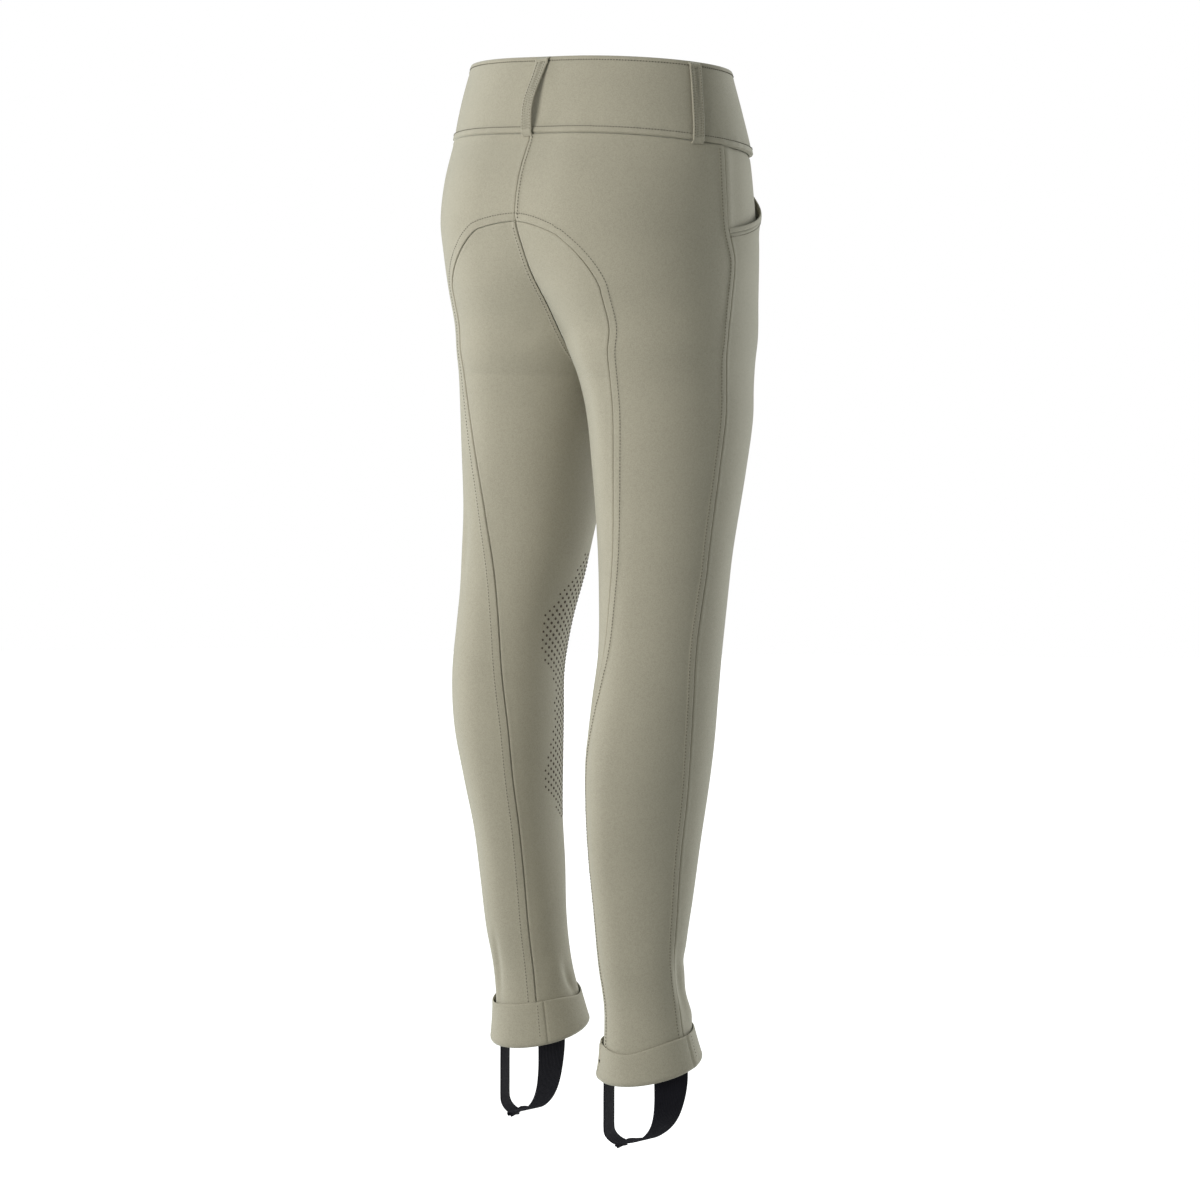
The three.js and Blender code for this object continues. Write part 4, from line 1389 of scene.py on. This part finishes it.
# The other tape: share of the way from the join to its own end, height, and turn of its face, 0 as at the
# join, 1 as under the foot, 2 as at the top.
SOLE_WAY = (
    (0.03, -66.5, 0), (0.02, -64, 0), (0.07, -62.3, 0.2), (0.2, -61.6, 0.7),
    (0.4, -60.5, 1), (0.6, -57.5, 1.05), (0.78, -50, 1.2), (0.9, -39, 1.4),
    (0.97, -24, 1.65), (1.0, -8, 1.9), (1.0, 4, 2), (1.0, 14, 2),
)
# Per foot: angle and inset of the near and far ends, turn of the faces (degrees) near, under the foot and
# far, and how deep and how far in the join hangs, 1 as in the tables.
STIRRUP_COLUMNS = ("near", "near_in", "far", "far_in", "face_near", "face_under", "face_far", "deep", "swing")
STIRRUPS = {
    "left": (213, 9.5, 315, 8, 26.5, 8.4, -10.5, 1.0, 1.0),
    "right": (312, 6.5, 188, 7, 22.3, 8.6, -36, 0.91, 1.3),
}


def smooth_way(points, count):
    """A smooth curve through points (Catmull-Rom), evenly sampled."""
    points = np.asarray(points, float)
    padded = np.vstack([2 * points[0] - points[1], points, 2 * points[-1] - points[-2]])
    fine = []
    for i in range(len(points) - 1):
        a, b, c, d = padded[i : i + 4]
        t = np.linspace(0, 1, 12, endpoint=False)[:, None]
        bend = (2 * a - 5 * b + 4 * c - d) * t**2
        fine.append(0.5 * (2 * b + (c - a) * t + bend + (3 * b - a - 3 * c + d) * t**3))
    fine = np.vstack([*fine, points[-1:]])
    so_far = np.concatenate([[0], np.cumsum(np.linalg.norm(np.diff(fine[:, :3], axis=0), axis=1))])
    at = np.linspace(0, so_far[-1], count)
    return np.stack([np.interp(at, so_far, fine[:, k]) for k in range(fine.shape[1])], -1)


def tape_rings(way, outline):
    """Rings of a tape along rows of (x, y, z, turn of its face in degrees)."""
    centre = way[:, :3]
    turn = np.radians(way[:, 3] + 90)
    across = np.stack([np.cos(turn), np.sin(turn), 0 * turn], -1)
    along = unit(np.gradient(centre, axis=0))
    across = unit(across - along * np.sum(across * along, -1)[:, None])
    up = np.cross(along, across)
    return centre[:, None] + across[:, None] * outline[None, :, :1] + up[:, None] * outline[None, :, 1:]


class JODHPURS_OT_stirrups(bpy.types.Operator):
    """Hang the ribbed elastic stirrups, each of two tapes joined in a pointed seam under its back strand"""

    bl_idname = "jodhpurs.stirrups"
    bl_label = "Stirrups"

    def execute(self, context):
        settings = context.scene.jodhpurs_elastic
        material = elastic_material(settings)
        outline = strip_section(STIRRUP_WIDTH, ELASTIC, settings.ribs, rib_height=0.14, count=90)
        for name, side in SIDES.items():
            row = dict(zip(STIRRUP_COLUMNS, STIRRUPS[name]))
            near = on_body(side, np.float64(HEM_Z), math.radians(row["near"]), -row["near_in"])[0]
            far = on_body(side, np.float64(HEM_Z), math.radians(row["far"]), -row["far_in"])[0]
            face = math.radians(row["face_near"])
            inward = -np.array([math.cos(face), math.sin(face), 0])
            strand = []
            for swing, height in STRAND_WAY:
                sideways = inward * swing * row["swing"] * (1 if swing > 0 else 0.6)
                down = np.array([0, 0, height * (row["deep"] if height < 0 else 1)])
                strand.append((*(near + sideways + down), row["face_near"]))
            join = near + inward * STRAND_WAY[-2][0] * row["swing"]
            sole = []
            for share, height, turn in SOLE_WAY:
                place = join + (far - join) * share
                place[2] = near[2] + (far[2] - near[2]) * share + height * (row["deep"] if height < 0 else 1)
                place = place - inward * 0.8 * (share < 0.05)
                faces = np.interp(turn, (0, 1, 2), (row["face_near"], row["face_under"], row["face_far"]))
                sole.append((*place, faces))
            bodies = [tape_rings(smooth_way(way, 90), outline) for way in (strand, sole)]
            tape = loft(f"stirrup_{name}_tape", *bodies)
            finish_piece(tape, material, "elastic", f"stirrup_{name}")
        return {"FINISHED"}


# ---- knee grips ----

# Rear and front edge of the dotted patch round the inside of the knee, in degrees, by height.
GRIP_COLUMNS = ("z", "rear", "front")
GRIP_EDGE = np.array([
    (-392, 376, 392),
    (-412, 367, 402),
    (-432, 349, 412),
    (-452, 334, 420),
    (-472, 335, 422),
    (-484, 340, 419),
    (-494, 352, 414),
    (-512, 357, 408),
    (-532, 353, 406),
    (-544, 352, 406),
    (-564, 344, 410),
    (-584, 334, 414),
    (-598, 337, 410),
    (-612, 352, 402),
    (-626, 364, 390),
], float)


class JODHPURS_OT_knee_grips(bpy.types.Operator):
    """Print the raised rubber dots on the inside of each knee"""

    bl_idname = "jodhpurs.knee_grips"
    bl_label = "Knee grips"

    def execute(self, context):
        settings = context.scene.jodhpurs_grip
        material = grip_material(settings)
        across_step, along_step, full = settings.across / MM, settings.along / MM, settings.radius / MM
        sides = 12
        ring = np.arange(sides) * TURN / sides
        for name, side in SIDES.items():
            relief = front_relief(side)
            spots = []
            heights = np.arange(GRIP_EDGE[-1, 0], GRIP_EDGE[0, 0], along_step / 2)
            for row, z in enumerate(heights):
                edges = (GRIP_EDGE[:, GRIP_COLUMNS.index(edge)] for edge in ("rear", "front"))
                rear, front = (np.interp(-z, -GRIP_EDGE[:, 0], edge) for edge in edges)
                step = math.degrees(across_step * 2 / float(per_radian(side, z, TURN)))
                first = 360 + (row % 2) * step / 2
                for k in range(-12, 26):
                    degrees = first + k * step
                    inside = min(degrees - rear, front - degrees)
                    if inside > 0:
                        size = 0.74 + 0.26 * float(ease(inside / (1.6 * step)))
                        spots.append((z, math.radians(degrees) % TURN, full * size))
            spots = np.array(spots)
            base, n = on_body(side, spots[:, 0], spots[:, 1], relief(spots[:, 0], spots[:, 1]))
            east = unit(np.cross((0, 0, 1), n))
            north = np.cross(n, east)
            verts, faces = [], []
            for i, radius in enumerate(spots[:, 2]):
                start = len(verts) * (2 * sides + 2)
                circle = east[i] * np.cos(ring)[:, None] + north[i] * np.sin(ring)[:, None]
                lower = base[i] + circle * radius - n[i] * 0.35
                upper = base[i] + circle * radius * 0.82 + n[i] * 0.28
                verts.append(np.vstack([lower, upper, base[i] - n[i] * 0.35, base[i] + n[i] * 0.42]))
                for j in range(sides):
                    k = (j + 1) % sides
                    faces.append([start + j, start + k, start + sides + k, start + sides + j])
                    faces.append([start + sides + j, start + sides + k, start + 2 * sides + 1])
                    faces.append([start + k, start + j, start + 2 * sides])
            dots = add_object(f"knee_grip_{name}", np.concatenate(verts), faces, sharp=60)
            finish_piece(dots, material, "cloth")
        return {"FINISHED"}


# ---- stage ----

def area_light(name, azimuth, elevation, distance, size, power, colour, target):
    light = bpy.data.lights.new(name, "AREA")
    light.shape = "RECTANGLE"
    light.size, light.size_y = size
    light.energy = power
    light.color = colour
    obj = bpy.data.objects.new(name, light)
    a, e = math.radians(azimuth), math.radians(elevation)
    away = Vector((math.sin(a) * math.cos(e), -math.cos(a) * math.cos(e), math.sin(e)))
    obj.location = target + away * distance
    obj.rotation_mode = "QUATERNION"
    obj.rotation_quaternion = away.to_track_quat("Z", "Y")
    bpy.context.scene.collection.objects.link(obj)
    return obj


class JODHPURS_OT_stage(bpy.types.Operator):
    """Set the camera, the soft studio light and the pale floor"""

    bl_idname = "jodhpurs.stage"
    bl_label = "Stage"

    def execute(self, context):
        settings = context.scene.jodhpurs_stage
        scene = context.scene
        middle = (cad_box[0] + cad_box[1]) / 2

        camera = bpy.data.cameras.new("camera")
        camera.lens = settings.lens
        camera.sensor_width = 36
        eye = bpy.data.objects.new("camera", camera)
        back = Vector((math.sin(settings.azimuth), -math.cos(settings.azimuth), 0))
        eye.location = back * settings.distance + Vector((0, 0, settings.height))
        eye.rotation_mode = "QUATERNION"
        eye.rotation_quaternion = back.to_track_quat("Z", "Y")
        scene.collection.objects.link(eye)
        scene.camera = eye

        azimuth = math.degrees(settings.azimuth)
        chest = Vector((0, 0, -0.1))
        area_light("key_softbox", azimuth - 44, 6, 1.6, (0.9, 1.0), settings.key, (1, 0.99, 0.965), chest)
        area_light("edge_softbox_left", azimuth - 116, 4, 2.2, (0.7, 2.4), settings.rim, (1, 1, 1), middle)
        area_light("edge_softbox_right", azimuth + 124, 4, 2.2, (0.7, 2.4), settings.rim, (1, 1, 1), middle)

        world = bpy.data.worlds.new("white_room")
        world.use_nodes = True
        tree = world.node_tree
        tree.nodes.clear()
        output = tree.nodes.new("ShaderNodeOutputWorld")
        mix = tree.nodes.new("ShaderNodeMixShader")
        ray = tree.nodes.new("ShaderNodeLightPath")
        light, seen = tree.nodes.new("ShaderNodeBackground"), tree.nodes.new("ShaderNodeBackground")
        light.inputs["Color"].default_value = (0.96, 1.0, 0.98, 1)
        light.inputs["Strength"].default_value = settings.fill
        seen.inputs["Color"].default_value = (1, 1, 1, 1)
        seen.inputs["Strength"].default_value = 1.0
        tree.links.new(ray.outputs["Is Camera Ray"], mix.inputs[0])
        tree.links.new(light.outputs[0], mix.inputs[1])
        tree.links.new(seen.outputs[0], mix.inputs[2])
        tree.links.new(mix.outputs[0], output.inputs["Surface"])
        scene.world = world
        scene.view_settings.view_transform = "Standard"

        floor_z = cad_box[0].z - settings.drop
        reach = 40
        corners = [
            (-reach, -reach, floor_z),
            (reach, -reach, floor_z),
            (reach, reach, floor_z),
            (-reach, reach, floor_z),
        ]
        mesh = bpy.data.meshes.new("floor")
        mesh.from_pydata(corners, [], [(0, 1, 2, 3)])
        floor = bpy.data.objects.new("floor", mesh)
        scene.collection.objects.link(floor)
        white = bpy.data.materials.new("floor_white")
        white.use_nodes = True
        shader = white.node_tree.nodes["Principled BSDF"]
        shader.inputs["Base Color"].default_value = (0.6, 0.61, 0.6, 1)
        shader.inputs["Roughness"].default_value = 0.9
        shader.inputs["Emission Color"].default_value = (1, 1, 1, 1)
        seen = white.node_tree.nodes.new("ShaderNodeLightPath")
        white.node_tree.links.new(seen.outputs["Is Camera Ray"], shader.inputs["Emission Strength"])
        mesh.materials.append(white)
        return {"FINISHED"}


# ---- panel and registering ----

OPERATORS = (
    JODHPURS_OT_waistband,
    JODHPURS_OT_leg_backs,
    JODHPURS_OT_leg_fronts,
    JODHPURS_OT_pockets,
    JODHPURS_OT_belt_loops,
    JODHPURS_OT_turn_ups,
    JODHPURS_OT_stirrups,
    JODHPURS_OT_knee_grips,
    JODHPURS_OT_stage,
)

SETTINGS = {
    "jodhpurs_cloth": ClothSettings,
    "jodhpurs_stitch": StitchSettings,
    "jodhpurs_elastic": ElasticSettings,
    "jodhpurs_grip": GripSettings,
    "jodhpurs_stage": StageSettings,
}


class JODHPURS_PT_panel(bpy.types.Panel):
    """Lists the pieces of the jodhpurs and their settings"""

    bl_idname = "JODHPURS_PT_panel"
    bl_label = "Jodhpurs"
    bl_space_type = "VIEW_3D"
    bl_region_type = "UI"
    bl_category = "Jodhpurs"

    def draw(self, context):
        for name, group in SETTINGS.items():
            box = self.layout.box()
            for prop in group.__annotations__:
                box.prop(getattr(context.scene, name), prop)
        for operator in OPERATORS:
            self.layout.operator(operator.bl_idname)


CLASSES = (*SETTINGS.values(), *OPERATORS, JODHPURS_PT_panel)


def register():
    for cls in CLASSES:
        bpy.utils.register_class(cls)
    for name, group in SETTINGS.items():
        setattr(bpy.types.Scene, name, bpy.props.PointerProperty(type=group))


def unregister():
    for name in SETTINGS:
        delattr(bpy.types.Scene, name)
    for cls in reversed(CLASSES):
        bpy.utils.unregister_class(cls)


def main():
    register()
    for operator in OPERATORS:
        group, name = operator.bl_idname.split(".")
        getattr(getattr(bpy.ops, group), name)()


if __name__ == "__main__":
    main()
